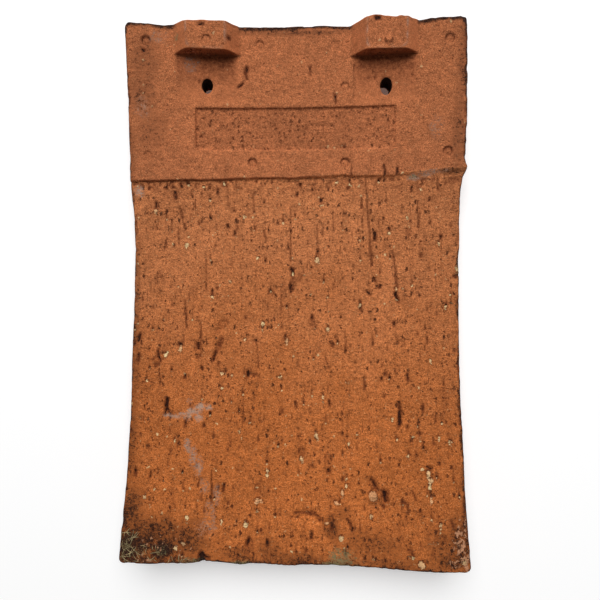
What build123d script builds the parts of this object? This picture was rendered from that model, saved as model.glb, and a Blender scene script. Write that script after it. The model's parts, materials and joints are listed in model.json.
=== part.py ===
"""A double-cambered plain clay roof tile, lying on its weather face with its nibs up.

Millimetres, +Z up. The origin is under the middle of the tile, on the level it lies on.
+Y runs from the tail to the head, where the two nibs and the two nail holes are.
The tile is one piece of fired clay, so it is one solid.
"""

import os
from math import asin, atan2, cos, degrees, dist, sin

from build123d import *

# Plan of the tile
LENGTH = 265.0
TAIL_WIDTH = 165.0
WAIST_WIDTH = 163.4
SHOULDER_WIDTH = 164.7
HEAD_WIDTH = 169.2
WAIST_Y = -30.0
SHOULDER_Y = 30.0
HEAD_EDGE_DIP = 1.3
TAIL_EDGE_DIP = 0.6
CORNER_RADIUS = 2.8

# Thickness and camber; each camber is the rise of the edges above the middle of the nib face
BODY_THICKNESS = 11.0
HEAD_STEP = 1.6
LONG_CAMBER = 13.0
CROSS_CAMBER = 4.5
BELLY_ROUNDING = 1.6
FACE_ROUNDING = 1.0

# Lower edge of the pressed head zone, which climbs a little towards one side
STEP_LEFT_Y = 55.6
STEP_MIDDLE = (10.0, 57.8)
STEP_RIGHT_Y = 62.0

# Nibs that hook over the roofing batten, and the nail hole under each
NIB_X = 44.5
NIB_FACE_Y = 117.0
NIB_HEIGHT = 7.6
NIB_BASE_WIDTH = 32.0
NIB_TOP_WIDTH = 19.2
NIB_HEAD_SETBACK = 3.2
NIB_ROUNDING = 0.8
NAIL_HOLE_Y = 102.2
NAIL_HOLE_RADIUS = 2.8

# Sunk stamp panel, left bare
PANEL_LENGTH = 101.0
PANEL_HEIGHT = 20.6
PANEL_Y = 82.0
PANEL_DEPTH = 0.9
PANEL_CORNER = 1.2

# Dimples left by the screw heads of the pressing plate, on one half; the other half mirrors them
SCREW_MARKS = [(74.5, 122.3), (18.8, 121.8), (75.2, 68.7), (23.5, 65.2)]
SCREW_MARK_RADIUS = 2.1
SCREW_MARK_DEPTH = 0.5
NIB_MARK_RADIUS = 1.7
NIB_MARK_SETBACK = 3.8

# The largest drags that stones tore in the soft clay of the body: both ends, and the width
DRAG_DEPTH = 0.7
DRAGS = [
    ((36, 54), (39, 13), 1.6),
    ((61.5, 45.5), (62, 32), 1.4),
    ((-59, 43), (-56, 31), 1.5),
    ((49.5, 20.5), (52, 1.5), 1.6),
    ((51.2, -1.5), (52.4, -5), 2.2),
    ((-46, 19.5), (-45.5, 0), 1.2),
    ((-1.5, 11.5), (-2, -0.5), 2.0),
    ((-56.5, -4.5), (-55, -19), 1.4),
    ((-35.5, -16), (-39, -21.5), 2.6),
    ((-37.5, -25.5), (-41.5, -35.5), 2.4),
    ((-69, -30.5), (-68, -36), 1.6),
    ((-19, -29.5), (-18.5, -39.5), 1.2),
    ((18, -25.5), (19.5, -27.5), 1.6),
    ((52, -55), (52.5, -66.5), 2.0),
    ((-64, -55), (-64, -61.5), 2.0),
    ((-25.5, -53.5), (-25.5, -66.5), 1.2),
    ((4, -79.5), (4.5, -82), 2.6),
    ((38, -91.5), (41, -97), 1.6),
    ((44, -98), (45.5, -101.5), 2.4),
    ((-40, -89.5), (-40, -104.5), 1.4),
    ((1, -108.5), (10.5, -108.5), 1.4),
    ((-21, -120.5), (-22, -123.5), 1.8),
]

# Sizes that follow from the ones above, and the spare material that the trims take off
HEAD_THICKNESS = BODY_THICKNESS + HEAD_STEP
HEAD_Y = LENGTH / 2
TAIL_Y = -LENGTH / 2
TRIM = 8.0
LAP = 2.0
NIB_ROOT = 4.0
SHEET_HALF_WIDTH = HEAD_WIDTH / 2 + TRIM
REGION_HALF_WIDTH = SHEET_HALF_WIDTH + TRIM
CLEAR_HEIGHT = 60.0


def arc_radius(chord, rise):
    """Radius of the arc that rises by this much over this chord."""
    return (chord**2 / 4 + rise**2) / (2 * rise)


LONG_RADIUS = arc_radius(LENGTH, LONG_CAMBER)
CROSS_RADIUS = arc_radius(TAIL_WIDTH, CROSS_CAMBER)
AXIS_HEIGHT = BODY_THICKNESS + LONG_RADIUS
CAMBER_AXIS = Axis((0, 0, AXIS_HEIGHT), (1, 0, 0))
HALF_SWEEP = degrees(asin((HEAD_Y + TRIM) / LONG_RADIUS))
MIDDLE_SECTION = Plane((0, 0, AXIS_HEIGHT), x_dir=(1, 0, 0), z_dir=(0, -1, 0))
FIRST_SECTION = MIDDLE_SECTION.rotated((-HALF_SWEEP, 0, 0))


def cross_rise(x, height):
    """Rise of the cross camber at a distance from the middle, on the face at a height above the belly."""
    radius = CROSS_RADIUS + BODY_THICKNESS - height
    return radius - (radius**2 - x**2) ** 0.5


def cross_arc(height):
    """Both ends and the middle, on a section plane, of the face at a height above the belly."""
    middle = height - AXIS_HEIGHT
    end = middle + cross_rise(SHEET_HALF_WIDTH, height)
    return (-SHEET_HALF_WIDTH, end), (0, middle), (SHEET_HALF_WIDTH, end)


def cambered_layer(low, high):
    """The doubly curved layer of clay between two heights above the belly, not yet trimmed."""
    with BuildPart() as layer:
        with BuildSketch(FIRST_SECTION):
            with BuildLine():
                under = ThreePointArc(*cross_arc(low))
                over = ThreePointArc(*cross_arc(high))
                Line(under @ 0, over @ 0)
                Line(under @ 1, over @ 1)
            make_face()
        revolve(axis=CAMBER_AXIS, revolution_arc=2 * HALF_SWEEP)
    return layer.part


def face_height(x, y, height):
    """Level, at a plan position, of the face that is this high above the belly in the tile's middle."""
    arm = AXIS_HEIGHT - height - cross_rise(x, height)
    return AXIS_HEIGHT - (arm**2 - y**2) ** 0.5


def nib(x):
    """One nib, square to the camber: a tapered front run towards the head, its head end set back."""
    slope = asin((NIB_FACE_Y + HEAD_Y) / 2 / LONG_RADIUS)
    foot = (x, NIB_FACE_Y, face_height(x, NIB_FACE_Y, HEAD_THICKNESS))
    base = Plane(foot, x_dir=(1, 0, 0), z_dir=(0, -sin(slope), cos(slope)))
    front = Plane(foot, x_dir=base.x_dir, z_dir=-base.y_dir)
    side = Plane(foot, x_dir=base.y_dir, z_dir=base.x_dir)
    length = HEAD_Y - NIB_FACE_Y
    root_width = NIB_BASE_WIDTH + (NIB_BASE_WIDTH - NIB_TOP_WIDTH) * NIB_ROOT / NIB_HEIGHT
    with BuildPart() as piece:
        with BuildSketch(front):
            with BuildLine():
                Polyline(
                    (-root_width / 2, -NIB_ROOT),
                    (-NIB_TOP_WIDTH / 2, NIB_HEIGHT),
                    (NIB_TOP_WIDTH / 2, NIB_HEIGHT),
                    (root_width / 2, -NIB_ROOT),
                    close=True,
                )
            make_face()
        extrude(amount=-length - NIB_ROOT)
        with BuildSketch(side):
            with BuildLine():
                Polyline(
                    (0, -NIB_ROOT),
                    (0, NIB_HEIGHT),
                    (length - NIB_HEAD_SETBACK, NIB_HEIGHT),
                    (length + NIB_ROOT, -NIB_ROOT),
                    close=True,
                )
            make_face()
        extrude(amount=NIB_BASE_WIDTH, both=True, mode=Mode.INTERSECT)
        top = piece.faces().sort_by(Axis.Z)[-1]
        fillet(top.edges(), NIB_ROUNDING)
        with BuildSketch(base.offset(NIB_HEIGHT)):
            with Locations((0, NIB_MARK_SETBACK)):
                Circle(NIB_MARK_RADIUS)
        extrude(amount=-SCREW_MARK_DEPTH, mode=Mode.SUBTRACT)
    return piece.part


# The pressed head zone: a thicker layer, cut off along the climbing step
with BuildPart() as head_zone:
    add(cambered_layer(BODY_THICKNESS - LAP, HEAD_THICKNESS))
    with BuildSketch():
        with BuildLine():
            step = ThreePointArc(
                (-REGION_HALF_WIDTH, STEP_LEFT_Y), STEP_MIDDLE, (REGION_HALF_WIDTH, STEP_RIGHT_Y)
            )
            Polyline(
                step @ 1,
                (REGION_HALF_WIDTH, HEAD_Y + TRIM),
                (-REGION_HALF_WIDTH, HEAD_Y + TRIM),
                step @ 0,
            )
        make_face()
    extrude(amount=CLEAR_HEIGHT, mode=Mode.INTERSECT)

# The clay that the stamp panel takes out of the head zone
with BuildPart() as panel:
    add(cambered_layer(HEAD_THICKNESS - PANEL_DEPTH, HEAD_THICKNESS + LAP))
    with BuildSketch():
        with Locations((0, PANEL_Y)):
            RectangleRounded(PANEL_LENGTH, PANEL_HEIGHT, PANEL_CORNER)
    extrude(amount=CLEAR_HEIGHT, mode=Mode.INTERSECT)

# The clay that the screw heads take out of the head zone
with BuildPart() as screw_marks:
    add(cambered_layer(HEAD_THICKNESS - SCREW_MARK_DEPTH, HEAD_THICKNESS + LAP))
    with BuildSketch():
        with Locations(*SCREW_MARKS):
            Circle(SCREW_MARK_RADIUS)
        mirror(about=Plane.YZ)
    extrude(amount=CLEAR_HEIGHT, mode=Mode.INTERSECT)

# The clay that the drags take out of the body
with BuildPart() as drags:
    add(cambered_layer(BODY_THICKNESS - DRAG_DEPTH, BODY_THICKNESS + LAP))
    with BuildSketch():
        for (x0, y0), (x1, y1), width in DRAGS:
            with Locations(((x0 + x1) / 2, (y0 + y1) / 2)):
                heading = degrees(atan2(y1 - y0, x1 - x0))
                SlotCenterToCenter(dist((x0, y0), (x1, y1)), width, rotation=heading)
    extrude(amount=CLEAR_HEIGHT, mode=Mode.INTERSECT)

# The whole tile: camber, head zone and nibs, trimmed to the plan, then pressed, pierced and rounded
with BuildPart() as tile:
    add(cambered_layer(0, BODY_THICKNESS))
    add(head_zone.part)
    add([nib(-NIB_X), nib(NIB_X)])
    with BuildSketch() as plan:
        with BuildLine():
            side = ThreePointArc(
                (TAIL_WIDTH / 2, TAIL_Y), (WAIST_WIDTH / 2, WAIST_Y), (SHOULDER_WIDTH / 2, SHOULDER_Y)
            )
            flare = TangentArc(side @ 1, (HEAD_WIDTH / 2, STEP_RIGHT_Y), tangent=side % 1)
            Line(flare @ 1, (HEAD_WIDTH / 2, HEAD_Y))
            mirror(about=Plane.YZ)
            ThreePointArc((-HEAD_WIDTH / 2, HEAD_Y), (0, HEAD_Y - HEAD_EDGE_DIP), (HEAD_WIDTH / 2, HEAD_Y))
            ThreePointArc((-TAIL_WIDTH / 2, TAIL_Y), (0, TAIL_Y + TAIL_EDGE_DIP), (TAIL_WIDTH / 2, TAIL_Y))
        make_face()
        ends = plan.vertices().group_by(Axis.Y)
        fillet(ends[0] + ends[-1], CORNER_RADIUS)
    extrude(amount=CLEAR_HEIGHT, mode=Mode.INTERSECT)

    belly = tile.faces().sort_by(SortBy.AREA)[-1]
    fillet(belly.outer_wire().edges(), BELLY_ROUNDING)
    head_face, body_face = tile.faces().sort_by(SortBy.AREA)[-3:-1]
    step_foot = body_face.outer_wire().edges().sort_by(Axis.Y)[-1:]
    body_rim = body_face.outer_wire().edges() - step_foot
    fillet(body_rim + head_face.outer_wire().edges(), FACE_ROUNDING)

    add(panel.part, mode=Mode.SUBTRACT)
    add(screw_marks.part, mode=Mode.SUBTRACT)
    add(drags.part, mode=Mode.SUBTRACT)
    with Locations((-NIB_X, NAIL_HOLE_Y), (NIB_X, NAIL_HOLE_Y)):
        Hole(NAIL_HOLE_RADIUS)

tile.part.label = "tile"
os.makedirs("parts", exist_ok=True)
export_step(tile.part, "parts/tile.step")
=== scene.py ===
"""Looks of a plain clay roof tile that lies on its weather face with its nibs up.

Shapes are worked out in millimetres, in the frame of the part: +Z up, +Y from the tail to the head.
The tile is one closed surface over the cambered nib face, with its walls, its nail holes and its back.
"""

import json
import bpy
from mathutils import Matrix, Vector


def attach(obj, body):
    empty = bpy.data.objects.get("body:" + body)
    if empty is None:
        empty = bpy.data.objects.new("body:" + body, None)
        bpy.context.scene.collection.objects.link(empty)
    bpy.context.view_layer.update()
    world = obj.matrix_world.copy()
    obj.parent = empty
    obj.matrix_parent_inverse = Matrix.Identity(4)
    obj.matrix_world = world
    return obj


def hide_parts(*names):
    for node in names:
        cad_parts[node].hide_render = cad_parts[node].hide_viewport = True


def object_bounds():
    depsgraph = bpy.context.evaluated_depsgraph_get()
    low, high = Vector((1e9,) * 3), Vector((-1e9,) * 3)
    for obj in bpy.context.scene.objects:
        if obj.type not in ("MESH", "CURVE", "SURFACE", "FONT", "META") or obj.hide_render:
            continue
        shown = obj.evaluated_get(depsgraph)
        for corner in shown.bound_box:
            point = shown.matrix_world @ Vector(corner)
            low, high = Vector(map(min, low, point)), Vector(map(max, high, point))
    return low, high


bl_info = {
    "name": "Clay Roof Tile",
    "version": (1, 0, 0),
    "blender": (4, 5, 0),
    "location": "View3D > Sidebar > Roof Tile",
    "description": "Builds a pressed and fired clay roof tile, and a plain studio around it",
    "category": "Object",
}

import bpy
import numpy as np
from bpy.props import FloatProperty, FloatVectorProperty, IntProperty, PointerProperty
from mathutils import Matrix

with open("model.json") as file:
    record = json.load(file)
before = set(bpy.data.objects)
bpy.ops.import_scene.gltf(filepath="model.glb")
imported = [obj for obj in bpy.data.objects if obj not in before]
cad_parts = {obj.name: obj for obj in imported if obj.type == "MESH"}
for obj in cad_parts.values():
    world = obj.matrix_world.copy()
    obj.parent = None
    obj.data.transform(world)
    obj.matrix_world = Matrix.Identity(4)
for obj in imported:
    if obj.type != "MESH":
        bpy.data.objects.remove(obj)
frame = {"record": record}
CAD_LOW, CAD_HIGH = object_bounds()
MOUNTS = {mount["name"]: mount for mount in frame["record"]["mounts"]}

MM = 0.001

# Camera, fitted to the outline of the tile in the photograph; pixels are of its 600 by 600 frame
PHOTO_PIXELS = 600
FOCAL_PIXELS = 486.4
SENSOR_WIDTH = 36.0
CAMERA_TURN = (0.0386, 0.0446, 0.0026)
CAMERA_OFFSET = (2.69, -4.50, 250.0)
CAMERA_TARGET_HEIGHT = 11.0
CAMERA_NEAR = 0.01
LEVELLING_ROUNDS = 8

# Plan of the tile
WAIST_Y = -30.0
SHOULDER_Y = 30.0
FLARE_Y = 62.0
CORNER_RADIUS = 2.8
HEAD_EDGE_DIP = 1.3
TAIL_EDGE_DIP = 0.6
FACE_ROUNDING = 1.0
BACK_ROUNDING = 1.6
RIM = 1.2

# Lower edge of the pressed head zone, and its ramp, which widens to one side
STEP_Y = 58.4
STEP_REACH = (38.0, 70.4)
STEP_CLIMB = 0.038
STEP_PIXELS = [
    (131.7, 180.6), (178.6, 179.5), (223, 178.8), (253, 177.6), (295, 177.4), (318, 175.1), (341, 173.4),
    (364, 175), (392.6, 174.5), (405, 171.6), (421, 169.4), (444, 167), (467, 166.5),
]
RAMP_NARROW = 0.45
RAMP_MIDDLE = 1.8
RAMP_WIDE = 3.6
RAMP_MIDDLE_REACH = (4.0, 16.0)
RAMP_WIDE_REACH = (48.0, 60.0)

# Nibs, the calm clay on their tail side, and the painted shadow that each casts on it
NIB_WALL = 1.4
NIB_WALL_REACH = (105.6, 127.0)
NIB_GAP = (-20.0, 20.0)
NIB_FITS = {
    "nib_left": {
        "shift": (0.7, 0.3), "top_shift": 0.6, "flare": (1.5, 0.2), "drafts": (1.2, 0.35),
        "head_setback": 1.6, "chewed": 0.2, "shade": 0.07, "screw": (1.0, 4.9, 0.45),
    },
    "nib_right": {
        "shift": (0.2, -1.1), "top_shift": 0.4, "flare": (0.2, 1.3), "drafts": (0.6, 0.5),
        "head_setback": 1.5, "chewed": 0.8, "shade": 0.17, "screw": (1.3, 4.7, -0.7),
    },
}
NIB_HEAD_SLOPE = 1.6
NIB_PLATEAU_CORNER = 3.2
NIB_CALM_REACH = (-25.0, -21.0)
NIB_SHADOW_REACH = (-22.0, 0.0)
NIB_SHADOW = 0.82

# Stamp panel, which grows shallow towards one corner
PANEL_HALF_LENGTH = 50.5
PANEL_HALF_HEIGHT = 10.3
PANEL_Y = 82.0
PANEL_CORNER = 1.2
PANEL_WALL = 0.4
PANEL_FADE = 0.45
PANEL_FADE_ACROSS = (0.0, 55.0)
PANEL_FADE_ALONG = (86.0, 72.0)

# Nail holes: half sizes of the worn mouths, and of the grid block that each one opens
HOLE_MOUTHS = {
    "nail_hole_left": {
        "shift": (0.5, 0.7), "mouth": (2.9, 3.75), "exit_shift": (-0.7, 1.1), "exit_radius": 3.3,
    },
    "nail_hole_right": {
        "shift": (1.0, -0.7), "mouth": (3.05, 4.3), "exit_shift": (0.7, 0.8), "exit_radius": 3.3,
    },
}
HOLE_BLOCK = (2.1, 2.4)
HOLE_REACH = 3.0
HOLE_TOLERANCE = 0.01

# Grid spacing in millimetres, how many fine cells meet one cell of the back, and the rings of the walls
COLUMN_SPACING = 0.62
BODY_ROW_SPACING = 1.05
HEAD_ROW_SPACING = 0.9
STEP_ROW_SPACING = 0.45
STEP_ROW_BAND = (-4.2, 0.6)
HOLE_SPACING = 0.5
PANEL_WALL_SPACING = 0.3
RIM_SPACING = 0.4
NIB_WALL_ROWS = 6
COARSE = 3
WALL_LEVELS = (0.12, 0.32, 0.52, 0.72, 0.88)
HOLE_LEVELS = (0.08, 0.3, 0.6, 0.85)

# How uneven the walls, the bores of the holes and the back are
WALL_ROUGHNESS = 0.14
HOLE_ROUGHNESS = 0.06
BACK_ROUGHNESS = 0.06

# Marks read from the photograph, as pixels; widths and depths are millimetres
SCREW_MARKS = [
    (146, 41, 0.9), (259.5, 45.5, 0.45), (335, 45, 0.25), (450, 38, 0.7), (148, 155.5, 0.4),
    (252.5, 163, 0.8), (345, 162.5, 0.7), (448, 151, 0.8), (345, 87, 0.3),
]
SCREW_RADIUS = 2.0
BOSS_RADIUS = 1.7

# Each drag: upper end, lower end, width and depth
DRAGS = [
    (365.5, 181, 368.5, 221, 1.0, 0.4), (368.5, 221, 371.4, 266, 1.15, 0.4), (392.6, 251, 397, 288, 1.2, 0.5),
    (417, 201, 418, 228, 0.9, 0.5), (180.7, 207, 182.4, 218, 1.2, 0.6), (182.4, 218, 186, 231, 0.9, 0.3),
    (167.3, 238.5, 165, 249.5, 0.9, 0.5), (205.6, 253, 206.8, 291, 0.8, 0.35),
    (185, 299.5, 187.3, 328, 1.1, 0.5), (201.3, 321, 201.3, 341, 0.9, 0.4), (263, 229, 266, 240, 0.9, 0.4),
    (322.4, 224, 322.4, 236, 0.8, 0.35), (361.4, 197, 361.4, 208, 1.1, 0.6),
    (437.5, 177, 437.5, 191, 0.9, 0.4), (257.2, 348.5, 258.3, 368, 0.8, 0.35),
    (243.4, 396, 243.4, 423, 0.8, 0.35), (325.6, 355, 328, 367, 0.9, 0.4), (364, 376.5, 364, 389, 1.1, 0.4),
    (372, 334, 372, 345.5, 1.0, 0.4), (426.6, 335, 426.6, 343, 1.0, 0.5),
    (443.4, 376.5, 443.8, 386, 0.8, 0.4), (435.2, 413, 435.2, 422, 0.8, 0.4),
    (159.6, 368, 160, 385, 0.9, 0.35), (212.2, 470, 211.3, 503, 1.1, 0.4),
    (199.3, 476, 198.4, 486.5, 0.8, 0.4), (411.4, 489, 415, 499, 0.9, 0.4), (406, 503, 406.5, 519, 0.7, 0.3),
    (328.2, 493, 337, 501.6, 0.7, 0.4), (294.5, 512.5, 314, 513.2, 1.6, 0.8),
    (314, 513.2, 320, 519.5, 1.5, 0.6), (317, 224, 317.5, 250, 0.8, 0.3), (290.5, 204, 291, 262, 0.8, 0.25),
    (333, 214, 333.5, 231, 0.7, 0.25), (281, 283, 281.5, 312, 0.7, 0.25), (228, 186, 228.5, 206, 0.7, 0.25),
    (253.5, 190, 254, 206, 0.7, 0.3), (345, 330, 345.5, 352, 0.8, 0.3), (354, 108, 354, 64, 0.5, 0.25),
    (351, 152, 351, 176, 0.5, 0.2),
]

# Each pit: upper end, lower end, width and depth
PITS = [
    (175.7, 192, 175.7, 199, 1.5, 0.9), (156, 202, 157, 207, 1.4, 0.9), (292, 268.5, 292, 276, 2.0, 1.2),
    (291, 286, 291, 292, 1.5, 1.0), (212.6, 290, 212.6, 293, 1.3, 0.8), (270.6, 291, 271.5, 291.5, 1.6, 0.7),
    (374.4, 232.5, 374.4, 239, 1.5, 0.9), (388.5, 228.5, 388.5, 230.5, 1.4, 0.9),
    (395.3, 294, 398, 301, 2.0, 1.4), (321.3, 199, 321.3, 202, 1.6, 0.9), (317.7, 251, 317.7, 254, 1.5, 0.9),
    (374.4, 279, 375, 281, 1.6, 0.9), (377, 286, 380, 287, 1.5, 0.9), (367.3, 291.5, 370, 295, 1.3, 0.8),
    (359.6, 301, 360.2, 309, 1.3, 0.9), (311.8, 316, 311.8, 319, 1.7, 0.8),
    (393.8, 322, 393.8, 325, 1.4, 0.8), (441, 235.5, 441, 238, 1.4, 0.9), (445.5, 303, 445.5, 305, 1.3, 0.8),
    (453.5, 275.5, 457.5, 274.5, 1.5, 1.3), (300, 184, 300.5, 187, 1.6, 0.8), (297, 194, 297, 196, 1.4, 0.7),
    (140.2, 334, 139, 341, 1.5, 1.0), (139, 354, 139, 361, 1.5, 1.0), (158.5, 350, 160.4, 361, 1.3, 1.1),
    (153.5, 359.5, 155, 357.5, 0.9, 0.6), (155, 364, 159.5, 364.5, 0.8, 0.5),
    (180, 344, 182.5, 344.8, 1.5, 1.0), (197.8, 343.5, 197.8, 348, 1.9, 1.0),
    (197, 355.5, 201, 355.5, 1.0, 0.6), (215.8, 352, 213.5, 360, 1.2, 1.2),
    (218.4, 363, 218.4, 365, 1.1, 0.8), (202.4, 367.5, 202.4, 370, 1.6, 0.8),
    (185.3, 377, 185.3, 378, 1.4, 0.7), (167, 399, 167, 409, 2.2, 1.2), (166, 408, 164.8, 413.5, 1.3, 0.9),
    (168, 408, 170.8, 414.5, 1.3, 0.9), (185.7, 420, 185.7, 425, 1.2, 0.8),
    (204.4, 423.5, 204.4, 426, 1.3, 0.8), (248, 371.5, 247.6, 376, 1.6, 1.1),
    (256, 340, 256.5, 341.5, 1.3, 0.7), (285.5, 335, 285.5, 337.5, 1.0, 0.7), (295, 402, 296, 407, 0.9, 0.7),
    (329.8, 341, 333, 345.5, 1.2, 0.9), (329.1, 400, 329.5, 403, 1.2, 0.9),
    (398.1, 401.5, 400, 411, 1.2, 0.9), (399.4, 412, 399.4, 425, 2.0, 1.2),
    (422.3, 405, 423.2, 411, 1.1, 0.9), (380.9, 377.5, 380.9, 379, 1.4, 0.8),
    (406.8, 374, 408, 381, 1.3, 0.6), (418.8, 432, 418.8, 435, 1.2, 0.8),
    (449.2, 439, 449.2, 440.5, 1.1, 0.7), (460.2, 415, 460.2, 417, 1.4, 0.8),
    (454.4, 350, 454.4, 351.5, 1.2, 0.7), (150.8, 471, 150.3, 476, 1.2, 0.8),
    (136.3, 469, 136.3, 474, 1.4, 0.8), (218.4, 485, 218.4, 490, 1.0, 0.7),
    (223.8, 483, 223.4, 489, 1.0, 0.7), (202, 554.5, 202.5, 560.5, 3.2, 2.2),
    (205.5, 556.5, 208, 557.5, 1.8, 1.2), (249.2, 539, 247.2, 545, 1.6, 1.1),
    (267.5, 541, 267.5, 544, 1.6, 0.9), (261.2, 529.5, 261.2, 531, 1.5, 0.7),
    (328.2, 469.5, 328.4, 471.5, 1.8, 1.1), (342, 477.5, 342, 480, 1.3, 0.8),
    (332.2, 524, 332.2, 529, 1.5, 1.0), (311.7, 532, 311.7, 536.5, 1.8, 0.8),
    (370.4, 478, 377.5, 489.5, 1.3, 1.0), (383.8, 492, 386.5, 500.5, 2.2, 1.3),
    (382, 505, 384, 507, 1.1, 0.8), (402.5, 499, 406, 504, 1.1, 0.8), (427.2, 467, 430.5, 468, 1.5, 1.1),
    (407.9, 450.5, 408.5, 452, 1.2, 0.8), (347.1, 518.5, 353.5, 528.5, 1.0, 0.8),
    (450.7, 520, 453, 527, 1.1, 0.8), (439.1, 462, 439.1, 464, 1.1, 0.7), (409, 550.5, 412, 551, 1.0, 0.7),
    (411, 554.5, 413, 555, 1.0, 0.7), (246.8, 68, 245.4, 74.5, 1.5, 0.8), (242.5, 84, 238.5, 87.5, 1.4, 0.7),
    (246, 76.5, 247, 78.5, 1.2, 0.6), (199, 80, 199, 81, 1.1, 0.5), (230.5, 42.5, 231.2, 43.5, 1.4, 0.7),
    (143.5, 50.5, 143.5, 51.5, 1.4, 0.7), (374.6, 76.5, 374.6, 78.5, 1.0, 0.6),
    (412, 74, 412.5, 75, 1.2, 0.6), (397, 168, 397, 174, 1.1, 0.8), (384.5, 164.5, 384.5, 176, 0.9, 0.6),
    (335, 95.5, 336, 102, 1.2, 0.5), (310, 66, 310, 74, 0.9, 0.4), (166, 188, 167.5, 189, 1.3, 0.6),
    (173, 187, 175, 188, 1.4, 0.7), (181, 184, 182, 187, 1.3, 0.7), (187.5, 182.5, 188, 184, 1.3, 0.6),
    (218, 190, 218, 194, 1.1, 0.7), (228, 226, 228.5, 227.5, 1.5, 0.7), (234.7, 232, 234.7, 235, 1.2, 0.7),
    (411, 187.5, 411.5, 192, 1.2, 0.7), (429, 198.5, 429, 200.5, 1.3, 0.7),
    (429.8, 222.5, 430, 224, 1.3, 0.7), (420.4, 254, 420.4, 256, 1.3, 0.7),
    (346.5, 189, 349, 187.5, 1.3, 0.6), (202.5, 29.6, 205, 29.4, 1.6, 0.6),
    (375.6, 24.4, 378.6, 23.6, 2.2, 0.8),
]

# Each smooth gouge, wider than a drag: upper end, lower end, width, depth and how much of its floor is
# painted in shade rather than in light
GOUGES = [
    (224.5, 322, 218, 332, 3.4, 0.9, 0.25), (221.5, 340, 214.5, 356, 2.6, 0.8, 0.85),
    (408, 231.5, 408, 236, 2.4, 0.6, 0.6), (300, 276, 300, 281, 2.4, 0.6, 0.5),
    (258, 486, 258, 497, 2.6, 0.5, 0.2), (301.5, 451, 302, 455, 3.0, 0.7, 0.5),
    (160, 274, 164, 282, 2.2, 0.4, 0.5), (270.5, 293, 271, 298, 2.2, 0.4, 0.1),
    (405, 506, 404, 516, 3.0, 0.4, 0.1), (293.5, 280, 292, 290, 3.0, 0.5, 0.8),
    (197.6, 344, 198, 357, 3.0, 0.4, 0.45), (249, 371, 247, 378, 2.6, 0.4, 0.5),
    (384, 492, 386, 503, 3.6, 0.6, 0.6), (372, 481, 376, 489, 2.4, 0.4, 0.6),
    (202, 556, 207, 561, 3.6, 0.8, 0.7), (312, 320, 311, 326, 3.0, 0.4, 0.5),
    (249.5, 541, 247, 552, 3.4, 0.5, 0.45), (328, 456, 329, 474, 3.0, 0.3, 0.3),
]

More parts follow.
